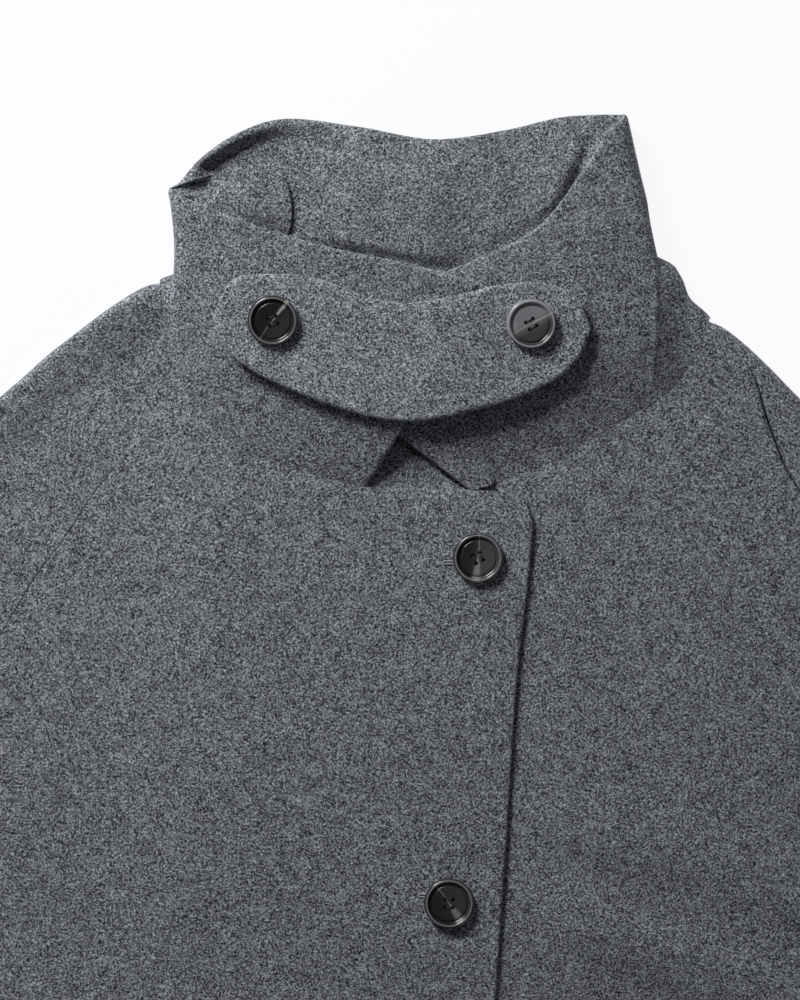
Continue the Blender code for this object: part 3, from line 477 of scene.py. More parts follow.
ROLL_FLAT = 4.0  # the fold's crown is flat for this far
STEP_REACH = (5.5, 10.0)  # the back half steps down where it shows for this much
CROWN_SHARES = (0.2, 0.4, 0.6, 0.8, 1.0)  # from the fold to the overarm seam
ARM_SETTLED, INNER_SETTLED = 60.0, 40.0  # creases start this far inside the borders
CREASES = (
    # width, level in the noise, height
    (85.0, 3.1, 0.8), (30.0, 8.7, 0.28),
)


def front_raglan(side):
    """The front's raglan seam from the armpit to the neck."""
    return cut_line(FRONT_RAGLAN + (FRONT_NECK[side][0],), RAGLAN_SHARES)


def creases(spots):
    """The cloth's slow unevenness, in millimetres, at places on it."""
    flat = spots.reshape(-1, spots.shape[-1])
    lift = [sum(noise.noise(Vector((x / wide, y / wide, level))) * height for wide, level, height in CREASES)
            for x, y in flat[:, :2]]
    return np.array(lift).reshape(spots.shape[:-1])


def sleeve_height(from_outline, from_inner, under_radius, bend):
    """Height of the middle of a sleeve's upper layer."""
    arm = (LOWER + 2 * SLEEVE_ROLL - UPPER) * (1 - ease(from_outline, ROLL_FLAT, ROLL_REACH))
    under = ((LOWER + 2 * under_radius - UPPER) * bend)[:, None] * (1 - ease(from_inner, 0.0, ROLL_REACH))
    return UPPER + arm + under


def sleeve_layer(neckline, shift, start, finish, rows):
    """One layer of a sleeve, from its inner border to its outer one."""
    head = line_between(neckline, start[0], finish[0], SLEEVE_ACROSS) + shift
    head[0], head[-1] = start[0], finish[0]
    end = start[-1] + (finish[-1] - start[-1]) * SLEEVE_ACROSS[:, None]
    return spread((start, finish), (head, end), SLEEVE_ACROSS, rows)


neck_pieces = [back]
for side, sign in (("left", -1), ("right", 1)):
    underarm = cut_line(UNDERARM, UNDERARM_SHARES)
    lower, down, armpit = joined_lines(cut_line(BACK_RAGLAN, RAGLAN_SHARES)[::-1], underarm)
    upper = joined_lines(front_raglan(side)[::-1], underarm)[0]
    rows = np.concatenate([ARMPIT_SHARE * (1 - RAGLAN_SHARES[::-1]),
                           ARMPIT_SHARE + (1 - ARMPIT_SHARE) * UNDERARM_SHARES[1:]])
    outline = cut_line(ARM_OUTLINE, rows)
    columns = list(zip(*OVERARM_SEAM[side]))
    overarm = curve(columns[0], columns[1], distances(outline))
    under_radius = ARMPIT_ROLL + (SLEEVE_ROLL - ARMPIT_ROLL) * ease(down, armpit, 1.0)
    bend = (down > armpit + 1e-6).astype(float)
    always = np.ones_like(down)
    cuff = (CUFF_INNER, CUFF_OUTER)

    # The back half: along the sheet, round the fold and forwards to the overarm seam.
    start, inwards = beside(lower, -(under_radius + CLOTH / 2), (BACK_NECK_LINE[2:4], cuff))
    finish, inside = beside(outline, SLEEVE_ROLL + CLOTH / 2)
    floor = at_height(sleeve_layer(BACK_NECK_LINE, (0.0, -SEAM_GAP / 2), start, finish, rows), LOWER)
    columns = rolled(floor[:, 0], inwards, under_radius, 1, bend, 1, 1)[::-1]
    columns += [*floor.swapaxes(0, 1)]
    columns += rolled(floor[:, -1], -inside, SLEEVE_ROLL * always, 1, always, 2, 0)
    crown = columns[-1]
    rest = overarm - SEAM_GAP / 2 - SLEEVE_ROLL - CLOTH / 2
    sunk = SEAM_STEP * ease(overarm, *STEP_REACH)
    for share in CROWN_SHARES:
        spot = crown[:, :2] + inside * (rest * share)[:, None]
        from_outline = (SLEEVE_ROLL + CLOTH / 2 + rest * share)[:, None]
        height = sleeve_height(from_outline, from_outline + 2 * ROLL_REACH, under_radius, bend)[:, 0]
        height = height - sunk * share
        columns.append(np.column_stack([spot, height]))
    cut = len(columns)

    # The front half, from the overarm seam to the armpit and the underarm.
    start, inwards = beside(upper, -(under_radius + CLOTH / 2), (SLEEVE_NECK[side][-2:], cuff))
    finish = beside(outline, overarm + SEAM_GAP / 2)[0]
    flat = sleeve_layer(SLEEVE_NECK[side], (SEAM_GAP / 2, 0.0), start, finish, rows)
    from_outline = overarm[:, None] + norm(flat - flat[:, -1:], axis=2)
    from_inner = norm(flat - flat[:, :1], axis=2)
    settled = ease(from_outline, 0.0, ARM_SETTLED) * ease(from_inner, 0.0, INNER_SETTLED)
    lift = sleeve_height(from_outline, from_inner, under_radius, bend) + np.abs(creases(flat)) * settled
    top = at_height(flat, lift)
    columns += [*top.swapaxes(0, 1)[::-1]]
    columns += rolled(top[:, 0], inwards, under_radius, -1, bend, 1, 1)

    # Both are shaped in one net, so that they meet smoothly, and parted at the seam.
    net = np.stack(columns, axis=1)
    net[..., 0] *= sign
    low, high = two_faces(net, CLOTH, (1, 1), cut)
    cut -= 1
    borders = (None, "seam", "plain", "free")
    sleeve_back = sewn_piece("sleeve_back_" + side, low[:, :cut], high[:, :cut], borders)
    borders = ("lip", "seam", "seam", "free")
    sleeve_front = sewn_piece("sleeve_front_" + side, low[:, cut:], high[:, cut:], borders)
    neck_pieces += [sleeve_back, sleeve_front]


# The fronts.
# The viewer's left front laps over the other by 114 mm and is buttoned to it. Both have turned
# front edges with no stitching to be seen, and soft folds drag across them from the buttons.
OVERLAP = UPPER + CLOTH + LAYER_GAP
OVER_EDGE, UNDER_EDGE = 55.0, -59.0
CLIMB_REACH, CLIMB_CLEAR = 100.0, 36.0  # the lap climbs between these, before the other's edge
FRONT_EDGE = {
    "left": ((-52.2, -93.2), (-56, -101), (-57, -124), (-55, -170), (-55, -270), (-OVER_EDGE, -340),
             (-OVER_EDGE, HEM_Y)),
    "right": ((-57, -64), (UNDER_EDGE + 0.6, -110), (UNDER_EDGE, -200), (UNDER_EDGE, HEM_Y)),
}
DRAG_FOLDS = (
    # x0, y0, x1, y1, half width, height, fade
    (66, -292, 262, -352, 26, 4, 40),
    (60, -244, 262, -300, 30, 3.2, 40),
    (-230, -330, -90, -420, 40, 3, 60),
    (110, -470, 250, -520, 38, 3, 50),
    (-60, -560, -200, -520, 42, 2.6, 50),
)
FRONT_ACROSS = np.linspace(0.0, 1.0, 57)


def drag_folds(x, y):
    """How high the soft folds lift the cloth."""
    height = np.zeros_like(x)
    for x0, y0, x1, y1, half_width, rise, fade in DRAG_FOLDS:
        length = math.hypot(x1 - x0, y1 - y0)
        ahead = ((x1 - x0) / length, (y1 - y0) / length)
        run = (x - x0) * ahead[0] + (y - y0) * ahead[1]
        off = np.abs((y - y0) * ahead[0] - (x - x0) * ahead[1])
        ends = ease(run, 0.0, fade) * (1 - ease(run, length - fade, length))
        height += rise * ends * (1 - ease(off, 0.0, half_width))
    return height


for side, sign, name in (("right", 1, "front_under"), ("left", -1, "front_over")):
    border, up, radius, bend = body_border(front_raglan(side))
    outer, out = beside(border, -(radius + CLOTH / 2), (None, FRONT_NECK[side][:2]))
    edge = cut_line(FRONT_EDGE[side][::-1], up)
    hem = cut_line(((HALF_HEM, HEM_Y + HEM_RISE), (HALF_HEM * 0.5, HEM_Y + HEM_RISE / 4),
                    FRONT_EDGE[side][-1]), FRONT_ACROSS)
    neck = line_between(FRONT_NECK[side], outer[-1], edge[-1], FRONT_ACROSS)
    neck = beside(neck, -SEAM_GAP / 2)[0]
    hem[0], neck[0], hem[-1], neck[-1] = outer[0], outer[-1], edge[0], edge[-1]
    flat = spread((outer, edge), (hem, neck), FRONT_ACROSS, up)
    inside = norm(flat - flat[:, :1], axis=2)
    crown = (LOWER + 2 * radius - UPPER)[:, None] * bend[:, None]
    height = UPPER + crown * (1 - ease(inside, 0.0, ROLL_REACH))
    if side == "left":
        climb = ease(-flat[..., 0], UNDER_EDGE - CLIMB_REACH, UNDER_EDGE - CLIMB_CLEAR)
        height = height + (OVERLAP - UPPER) * climb
    signed = flat * (sign, 1)
    height = height + drag_folds(signed[..., 0], signed[..., 1])
    height = height + np.abs(creases(signed)) * ease(inside, 0.0, INNER_SETTLED)
    net = at_height(flat, height)
    start = rolled(net[:, 0], out, radius, -1, bend, 1, 1)
    net = np.stack([*start[::-1], *net.swapaxes(0, 1)], axis=1)
    net[..., 0] *= sign
    front = sewn_piece(name, *two_faces(net, CLOTH, (1, 0)), ("seam", "free", "free", "seam"))
    neck_pieces.append(front)


# The collar.
# A large stand of doubled melton, cut in one and sewn to the neckline. It stands folded flat at
# both sides, its pointed ends crossing in front, and its inner layer buckles at the left fold.
DOUBLE_CLOTH = 4.0
COLLAR_STATIONS = (
    # seam, low, high, top, turns: lines up the collar, from the end on top round the back
    ((-27.3, -91.4, 8.2), (-10.4, -60, 16), (2.4, -28.8, 18), (22.3, 13.1, 18.8), 2),
    ((-57.2, -86.6, 8.2), (-46, -54, 14.4), (-33.5, -22, 17.4), (-17, 20.6, 20), 2),
    ((-84, -79.6, 7), (-77, -48, 13.2), (-69, -16, 16.6), (-57, 26, 20.2), 2),
    ((-102.2, -68.6, 5.8), (-101, -40, 12.4), (-99, -10, 16.2), (-96, 35, 19.4), 2),
    ((-112.5, -57.5, 5.6), (-118.5, -24, 11.6), (-124.6, 4, 14), (-127.5, 45.2, 16.8), 2),
    ((-127.6, -37.4, 6.4), (-128.2, -12, 10.4), (-128.2, 12, 12.6), (-131.8, 46.6, 14.2), 1),
    ((-134.4, -10, 7.2), (-129, 3, 9.6), (-129.4, 22, 11), (-134, 49, 12.2), 2),
    ((-136.6, 2.8, 4.6), (-127.4, 9, 5.8), (-129.2, 27, 7.4), (-134.4, 50.2, 9.4), 2),
    ((-128.6, -3, 2), (-125.4, 12, 2.4), (-126, 30, 3), (-131.4, 52.6, 5.2), 1),
    ((-117, -9, 2), (-114.5, 15, 2), (-115, 37, 2.4), (-122.4, 65, 3.6), 2),
    ((-98, -14.6, 2), (-98, 14, 2), (-99, 43, 2), (-105.2, 79.2, 2.4), 2),
    ((-72, -20.8, 2), (-74, 11, 2), (-76.5, 43, 2), (-82, 88.8, 2), 2),
    ((-40, -24, 2), (-41, 9, 2), (-42, 42, 2), (-44, 87.8, 2), 2),
    ((0, -25, 2), (-2, 7, 2), (-4, 39, 2), (-6, 84.2, 2), 2),
    ((40, -24, 2), (38, 11, 2), (34, 46, 2), (30, 91.4, 2), 2),
    ((75, -20.8, 2), (71, 15, 2), (66, 51, 2), (57, 99.6, 2.4), 2),
    ((108, -12.4, 2), (97, 17, 2), (87, 51, 2.4), (76.6, 102.2, 3.8), 1),
    ((127, -5, 2), (114.6, 21, 2.4), (101, 51.8, 3), (85.8, 102.6, 5.2), 2),
    ((137.2, 3.4, 4.6), (119.6, 24.6, 5.6), (104, 52.2, 7), (87.6, 102.4, 9.2), 2),
    ((133.4, -6, 7.2), (117.8, 20, 9.4), (103.8, 51, 11), (87, 101.2, 12.4), 1),
    ((127.4, -24.6, 6.4), (114.6, 9, 10.8), (102.6, 48.4, 12.8), (85.8, 98.4, 14), 2),
    ((112.2, -38.6, 5.6), (109.6, -1, 12), (101.6, 44.6, 14.6), (81.6, 95.2, 15.8), 2),
    ((97.6, -49.6, 4.9), (94, -12, 11.8), (87, 29, 15.4), (69.8, 74, 17.4), 2),
    ((84.8, -58.6, 4.9), (76, -25, 11), (66, 9, 14.4), (50.4, 44.6, 16.4), 2),
    ((46.4, -79.6, 4.9), (36, -48, 9.6), (22, -20, 11.6), (5.4, 18, 12.4), 2),
    ((23.4, -89.6, 4.9), (-4.8, -70.6, 9.4), (-33.6, -50.4, 10), (-73.4, -23.2, 9.4), 0),
)
# Rows of that table: single ones, and those where a form starts, is full, begins to end, is gone
LEFT_CREASE, LEFT_OUTLINE, BACK_LEFT, RIGHT_OUTLINE = 4, 7, 9, 18
CURL_ROWS, SWELL_ROWS, BETWEEN_ROWS = (6, 8, 10, 12), (11, 12, 17, 18), (13, 13.5, 14, 15)
COLLAR_HEIGHTS = (0.0, 0.3, 0.6, 1.0)
COLLAR_ROWS = np.linspace(0.0, 1.0, 49)
COLLAR_FINE = 8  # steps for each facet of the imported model
COLLAR_GAP = 0.08
SEAM_SUNK = 0.15  # the collar starts this much below the body's face
SEAM_FEELERS = (2.5, 4.0)  # how far inside the neckline the body's face is felt
COLLAR_SIDE = np.array((-20.0, 60.0))  # a place that the neckline's collar side faces
DOUBLE_EDGE = 1.6  # doubled cloth rounds off this much wider and deeper
# The right fold is pressed in at a kink, and a crease runs down the leaf from there.
KINK = (0.33, 0.42, 0.70)  # shares of the height where it starts, is deepest, and ends
KINK_PUSH = (-6.6, -1.6)
DENT = (0.0, 0.14, 0.28, 0.4)  # a shallower one below it: heights, and its share of that push
KINK_REACH = 6.0  # along the collar, to both sides of the fold
CREASE = ((109.3, 31), (110.8, 1.2), (111.6, -17.3), (111.5, -40))
CREASE_RIDGE, CREASE_WIDTH = 0.7, 1.6
CREASE_ENDS = (-40.0, -22.0, 24.0, 33.0)  # y where it starts, is full, begins to end, is gone
RIM_CURL, RIM_WIDTH = 5.5, (4.0, 8.5)  # the top edge curls up at the left, this much and this far
NOTCH_REACH = 1.2  # the folds stand free of the neckline for this far along the collar
PINCH, PINCH_REACH = 0.6, (1.08, 2.52)  # and are pressed thinner by this share, up to there
SWELL, SWELL_REACH = 4.0, (0.0, 6.0)  # the collar's back swells away from the leaves' edges
SWELL_HEIGHTS = (0.0, 0.3, 0.75, 1.0)
FLATTER = 0.75  # and less so between the two leaves, by this share
LOBE_SUNK, LOBE_DROP = 0.80, 15.0  # the buckle drops by this share, within this of the edge
LOBE_FLOOR = 5.0  # but no lower than this
LEAF_EDGES = ((-104, 38.8), (-74, 28.4), (-35.6, 23.1), (5.4, 18.4), (42, 38.5), (48.2, 43),
              (58.6, 52.7), (64.5, 61.2), (67.9, 69.9), (72.3, 85.8), (79.5, 97.3))
COLLAR_LOBE = (
    # height, reach, direction in degrees
    (0, 0, 10), (0.2, 14, 12), (0.36, 44, 15), (0.5, 55, 19),
    (0.64, 58, 26), (0.78, 53, 31), (0.9, 29, 34), (1, 0, 34),
)


def beside_neckline(spot):
    """The nearest place to spot that is clear of every neckline, on the collar's side."""
    shares = np.linspace(0.0, 1.0, 41)
    back_line = cut_line(BACK_NECK_LINE, shares)
    lines = [back_line, mirrored(back_line)]
    for side, sign in (("left", -1), ("right", 1)):
        lines += [cut_line(neckline[side], shares) * (sign, 1) for neckline in (FRONT_NECK, SLEEVE_NECK)]
    best = None
    for line in lines:
        ahead = line[1:] - line[:-1]
        share = np.clip(((spot - line[:-1]) * ahead).sum(axis=1) / (ahead * ahead).sum(axis=1), 0.0, 1.0)
        near = line[:-1] + ahead * share[:, None]
        k = int(np.argmin(norm(spot - near, axis=1)))
        distance = norm(spot - near[k])
        if best is None or distance < best[0]:
            side = np.array((-ahead[k][1], ahead[k][0])) / norm(ahead[k])
            best = (distance, near[k], side if side @ (COLLAR_SIDE - near[k]) > 0 else -side)
    return best[1] + best[2] * COLLAR_GAP, best[2]


def felt(piece):
    """For feeling how high a piece lies, in millimetres."""
    points = [(v.co.x / MM, (v.co.y - NECK_POINTS_Y) / MM, v.co.z / MM) for v in piece.data.vertices]
    return BVHTree.FromPolygons(points, [tuple(p.vertices) for p in piece.data.polygons])


def top_of(tree, x, y):
    """How high the felt piece lies at a place, or -1 beside it."""
    spot = tree.ray_cast(Vector((x, y, 300.0)), Vector((0.0, 0.0, -1.0)))[0]
    return -1.0 if spot is None else spot.z


def from_line(spots, line):
    """Distance of places from a line of points."""
    nearest = np.full(spots.shape[:-1], np.inf)
    for one, other in zip(line, line[1:]):
        one, ahead = np.array(one), np.subtract(other, one)
        share = np.clip((spots - one) @ ahead / (ahead @ ahead), 0.0, 1.0)
        nearest = np.minimum(nearest, norm(spots - one - ahead * share[..., None], axis=-1))
    return nearest


def rise_and_fall(at, rise, full, fall, gone):
    """From 0 to 1 and back to 0."""
    return ease(at, rise, full) * (1 - ease(at, fall, gone))


def along_collar(rows):
    """The same along the collar, between rows of its table."""
    return rise_and_fall(places, *np.interp(rows, np.arange(len(knots)), knots))


stations = np.array([row[:4] for row in COLLAR_STATIONS])
spans = norm(np.diff(stations, axis=0), axis=2).mean(axis=1)
knots = np.concatenate([[0.0], np.cumsum(np.sqrt(spans))])
places = [0.0]
for k, row in enumerate(COLLAR_STATIONS[:-1]):
    steps = row[4] * COLLAR_FINE
    places += [knots[k] + (knots[k + 1] - knots[k]) * (s + 1) / steps for s in range(steps)]
places = np.array(places)
lines = curve(knots, stations, places)
kink = rise_and_fall(COLLAR_ROWS, *KINK[:2], *KINK[1:])
kink += DENT[3] * rise_and_fall(COLLAR_ROWS, *DENT[:2], *DENT[1:3])
kink = kink[None] * (1 - ease(np.abs(places - knots[RIGHT_OUTLINE]), 0.0, KINK_REACH))[:, None]
to_fold = np.minimum(np.abs(places - knots[LEFT_OUTLINE]), np.abs(places - knots[RIGHT_OUTLINE]))
butted = to_fold > NOTCH_REACH

# The collar's foot follows the neckline, a little below the face of the cloth there.
body = [felt(piece) for piece in neck_pieces]
seam_tops = []
for line, on_seam in zip(lines, butted):
    spot, inwards = beside_neckline(line[0, :2])
    seam_tops.append(max(top_of(tree, *(spot - inwards * reach)) for tree in body for reach in SEAM_FEELERS))
    if on_seam:
        line[0] = (*spot, max(seam_tops[-1] - SEAM_SUNK - DOUBLE_CLOTH / 2, DOUBLE_CLOTH / 2))
net = np.swapaxes(curve(COLLAR_HEIGHTS, np.swapaxes(lines, 0, 1), COLLAR_ROWS), 0, 1)
net[..., :2] += kink[..., None] * KINK_PUSH
inner, outer = two_faces(net, DOUBLE_CLOTH)
pinch = PINCH * (1 - ease(to_fold, *PINCH_REACH))
inner += (net - inner) * pinch[:, None, None]
for line, one, other, on_seam, top in zip(net, inner, outer, butted, seam_tops):
    if on_seam and top > 0:
        upper, under = (one, other) if one[len(one) // 3, 2] > other[len(one) // 3, 2] else (other, one)
        upper[0], under[0] = line[0], line[0]
        upper[0, 2], under[0, 2] = top - SEAM_SUNK, top - SEAM_SUNK - CLOTH
outer[..., 2] = np.maximum(outer[..., 2], 0.0)

# The inner layer buckles over at the left fold, and swells at the back.
share = (places - knots[LEFT_CREASE]) / (knots[BACK_LEFT] - knots[LEFT_CREASE])
push = 1 - np.abs(np.clip(2 * share - 1, -1, 1)) ** 3
heights, reaches, directions = np.transpose(COLLAR_LOBE)
lobe = curve(heights, reaches, COLLAR_ROWS)
turn = np.radians(curve(heights, directions, COLLAR_ROWS))
inner[..., 0] += push[:, None] * (lobe * np.cos(turn))[None]
inner[..., 1] += push[:, None] * (lobe * np.sin(turn))[None]
sunk = LOBE_SUNK * push[:, None] * ease(lobe, 0.0, LOBE_DROP)[None]
inner[..., 2] -= sunk * np.maximum(inner[..., 2] - LOBE_FLOOR, 0.0)
behind = (along_collar(SWELL_ROWS) * (1 - FLATTER * along_collar(BETWEEN_ROWS)))[:, None]
behind = behind * rise_and_fall(COLLAR_ROWS, *SWELL_HEIGHTS)
off_leaves = ease(from_line(inner[..., :2], LEAF_EDGES), *SWELL_REACH)
inner[..., 2] += SWELL * (behind * off_leaves - sunk * (1 - off_leaves))

# The crease down the right leaf, and the curled rim.
y_down, x_down = np.array(CREASE)[::-1, 1], np.array(CREASE)[::-1, 0]
off_crease = (outer[..., 0] - np.interp(outer[..., 1], y_down, x_down)) / CREASE_WIDTH
ridge = np.exp(-off_crease ** 2) * rise_and_fall(outer[..., 1], *CREASE_ENDS)
outer[..., 2] += CREASE_RIDGE * ridge * (places > knots[RIGHT_OUTLINE] + 1)[:, None]
from_top = distances(net[len(net) // 2])[-1] * (1 - COLLAR_ROWS)
curl = (1 - ease(from_top, *RIM_WIDTH))[None] * along_collar(CURL_ROWS)[:, None]
inner[..., 2] += RIM_CURL * curl
outer[..., 2] += RIM_CURL * curl
collar = sewn_piece("collar", inner, outer, (None, "free", "free", "free"), DOUBLE_EDGE)


# The throat tab.
# A crescent of doubled melton, its edges turned in, buttoned across the collar's crossed ends.
# It is pressed smoother than the coat, and its cloth is painted a shade lighter: painted light, for the light
# that falls on it.
TAB_LINE = (
    # x, y, half width
    (-107.6, -8, 5), (-105, -8.6, 11.5), (-97.5, -9.6, 18.6), (-84, -13.4, 24.6),
    (-66, -17.6, 28), (-40, -25.6, 28.4), (-13, -29, 29.4), (16, -22.6, 28.8),
    (44, -12.4, 27.4), (60, -6.2, 23), (70, -2.2, 15.8), (74.4, -0.6, 9.8), (76.2, 0.2, 6),
)
TAB_ACROSS = np.linspace(-1.0, 1.0, 31)
TAB_ALONG = 73
# What lies within these of a place, in so many directions, holds the tab up there
TAB_FEELERS, TAB_FEELER_TURNS = (0.0, 4.0, 8.0), 8
SETTLING = 400  # rounds in which the tab sinks between what holds it up
# The tab's cloth is painted this much lighter than the coat's, as painted light.
TAB_PAINTED_LIGHT = 1.20


def around(reaches, count):
    """Places around a centre, at each reach."""
    turns = np.linspace(0, 2 * math.pi, count, endpoint=False)
    return [(reach * math.cos(a), reach * math.sin(a)) for reach in reaches for a in turns]


table = np.array(TAB_LINE)
run = distances(table[:, :2])
fine_run = np.unique(np.concatenate([np.linspace(0, run[-1], TAB_ALONG), run[:3], run[-3:]]))
middle = curve(run, table, fine_run)
ahead = unit(np.gradient(middle[:, :2], axis=0))
sideways = np.stack([-ahead[:, 1], ahead[:, 0]], axis=1)
flat = middle[:, None, :2] + sideways[:, None] * (middle[:, 2:3, None] * TAB_ACROSS[None, :, None])
tree = felt(collar)
ring = around(TAB_FEELERS, TAB_FEELER_TURNS)
under = np.array([[max(top_of(tree, x + dx, y + dy) for dx, dy in ring) for x, y in row] for row in flat])
lift = under.copy()
for _ in range(SETTLING):
    padded = np.pad(lift, 1, mode="edge")
    mean = (padded[:-2, 1:-1] + padded[2:, 1:-1] + padded[1:-1, :-2] + padded[1:-1, 2:]) / 4
    lift = np.maximum(mean, under)
net = at_height(flat, lift + LAYER_GAP + DOUBLE_CLOTH / 2)
# A lighter copy of the coat's melton: painted light on the tab.
tab_melton = melton_cloth("grey melange melton of the tab painted lighter", TAB_PAINTED_LIGHT)
tab = sewn_piece("collar_tab", *two_faces(net, DOUBLE_CLOTH), ("free",) * 4, DOUBLE_EDGE, tab_melton,
                 "tab_melton")


# The buttonholes.
# Three slits in the front that laps over, worked over with pale thread. The buttons hide most of
# each; its outer end shows beside the button.
BUTTONHOLES = (
    ("buttonhole_1", (14.4, -127), (41, -125)), ("buttonhole_2", (13.6, -293.8), (40, -295.6)),
    ("buttonhole_3", (13, -470), (39, -470)),
)
HOLE_HALF_WIDTH = 0.7
HOLE_END_POINTS, HOLE_SIDE_STEPS = 9, 12
CORD_RADIUS, CORD_SIDES = 0.42, 10
CORD_LIFT = 0.12  # the cord's middle above the cloth
thread = new_material("grey thread", {"Base Color": (0.30, 0.31, 0.33, 1.0), "Roughness": 0.6})[0]


def corded(name, path, radius, closed, material, place=None):
    """A round cord along a path of points in millimetres; an open one has flat ends."""
    path = np.asarray(path, float)
    if closed:
        ahead = unit(np.roll(path, -1, axis=0) - np.roll(path, 1, axis=0))
    else:
        ahead = unit(np.gradient(path, axis=0))
    side = unit(np.cross(ahead, (0.0, 0.0, 1.0)))
    up = np.cross(side, ahead)
    turns = np.linspace(0.0, 2 * math.pi, CORD_SIDES, endpoint=False)
    rings = path[:, None] + radius * (side[:, None] * np.cos(turns)[None, :, None]
                                      + up[:, None] * np.sin(turns)[None, :, None])
    count = len(path)
    faces = []
    for k in range(count if closed else count - 1):
        near, far = k * CORD_SIDES, (k + 1) % count * CORD_SIDES
        for c in range(CORD_SIDES):
            after = (c + 1) % CORD_SIDES
            faces.append((near + c, far + c, far + after, near + after))
    if not closed:
        last = (count - 1) * CORD_SIDES
        faces += [tuple(range(CORD_SIDES)), tuple(range(last, last + CORD_SIDES))[::-1]]
    offset = (0.0, NECK_POINTS_Y, 0.0) if place is None else (0.0, 0.0, 0.0)
    cord = put_mesh(name, (rings.reshape(-1, 3) * MM + offset).tolist(), faces, material)
    cord.data.shade_smooth()
    if place is not None:
        cord.matrix_world = place
    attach(cord, "root")


lap = felt(front)
for name, start, end in BUTTONHOLES:
    start, end = np.array(start), np.array(end)
    ahead = (end - start) / norm(end - start)
    across = np.array((-ahead[1], ahead[0])) * HOLE_HALF_WIDTH
    turns = np.radians(np.linspace(90.0, 270.0, HOLE_END_POINTS))
    cap = [start + across * math.sin(t) + ahead * HOLE_HALF_WIDTH * math.cos(t) for t in turns]
    cap += [end - across * math.sin(t) - ahead * HOLE_HALF_WIDTH * math.cos(t) for t in turns]
    path = []
    for first in (0, HOLE_END_POINTS):
        corner, across_from = cap[first + HOLE_END_POINTS - 1], cap[first - HOLE_END_POINTS]
        path += cap[first:first + HOLE_END_POINTS]
        path += [corner + (across_from - corner) * k / HOLE_SIDE_STEPS for k in range(1, HOLE_SIDE_STEPS)]
    corded(name, [(x, y, top_of(lap, x, y) + CORD_LIFT) for x, y in path], CORD_RADIUS, True, thread)


# The buttons.
# Dark horn, 25 mm across, turned with a raised rim, a groove and a shallow dish, drilled with
# four holes and sewn on by hand: two on the tab, three down the front.
BUTTON_PROFILE = (
    # radius, height
    (0, 0), (10.4, 0), (11.6, 0.35), (12.25, 1), (12.5, 1.9), (12.45, 2.7), (12.2, 3.3), (11.8, 3.75),
    (11.3, 3.95), (10.8, 3.85), (10.4, 3.45), (10.1, 2.8), (9.8, 2.3), (9.45, 2.15), (9.1, 2.3), (8.8, 2.6),
    (8.4, 2.72), (7.4, 2.66), (5, 2.42), (2.5, 2.26), (0, 2.2),
)
BUTTON_RADIUS, BUTTON_SIDES = 12.5, 96
HOLE_RADIUS, HOLE_OFFSET, HOLE_SIDES = 1.0, 1.95, 24
DRILL_FROM, DRILL_TO = -2.0, 8.0
HORN_SHARP = math.radians(40.0)
PALE_HORN = (0.42, 0.41, 0.38, 1.0)
HORN_TINT = (1.0, 1.02, 1.08)
# In button radii: where the rim's crest is painted pale as a highlight, and where each tone fades into the
# next
RIM_CREST, RIM_BLEND = 0.90, (0.01, 0.05)
SIDES_BLEND, STREAK_BLEND, CENTRE_BLEND = (-0.35, 0.25), (0.2, 1.0), (-0.08, 0.08)
WOBBLE = 0.16  # how far the horn's grain bends them
BUTTON_FEELERS, BUTTON_FEELER_TURNS = (0.0, 5.5, 11.0), 12
BUTTON_CLEAR = 0.15  # between a button and what it lies on
THREAD_RADIUS, THREAD_FOOT, THREAD_RISE, THREAD_POINTS = 0.38, 1.0, 1.4, 13
BUTTONS = (
    # node, what it lies on, x, y, turn of the holes; streak: direction, widths, strengths;
    # how pale its two sides are painted, one lighter as a highlight, and its rim's painted highlight
    ("button_tab_left", tab, -79.2, -13.0, 20.0, 58.0, (0.03, 0.12), (0.75, 0.30), (0.008, 0.022), 0.16),
    ("button_tab_right", tab, 48.6, -5.6, 33.0, 33.0, (0.035, 0.02), (0.85, 0.65), (0.240, 0.050), 0.34),
    ("button_front_1", front, 30.8, -123.6, -60.0, -90.0, (0.05, 0.28), (0.42, 0.35), (0.060, 0.014), 0.20),
    ("button_front_2", front, 28.4, -296.7, 4.0, -50.0, (0.04, 0.30), (0.40, 0.35), (0.036, 0.014), 0.20),
    ("button_front_3", front, 26.5, -470.0, 12.0, 120.0, (0.04, 0.20), (0.40, 0.30), (0.036, 0.014), 0.20),
)


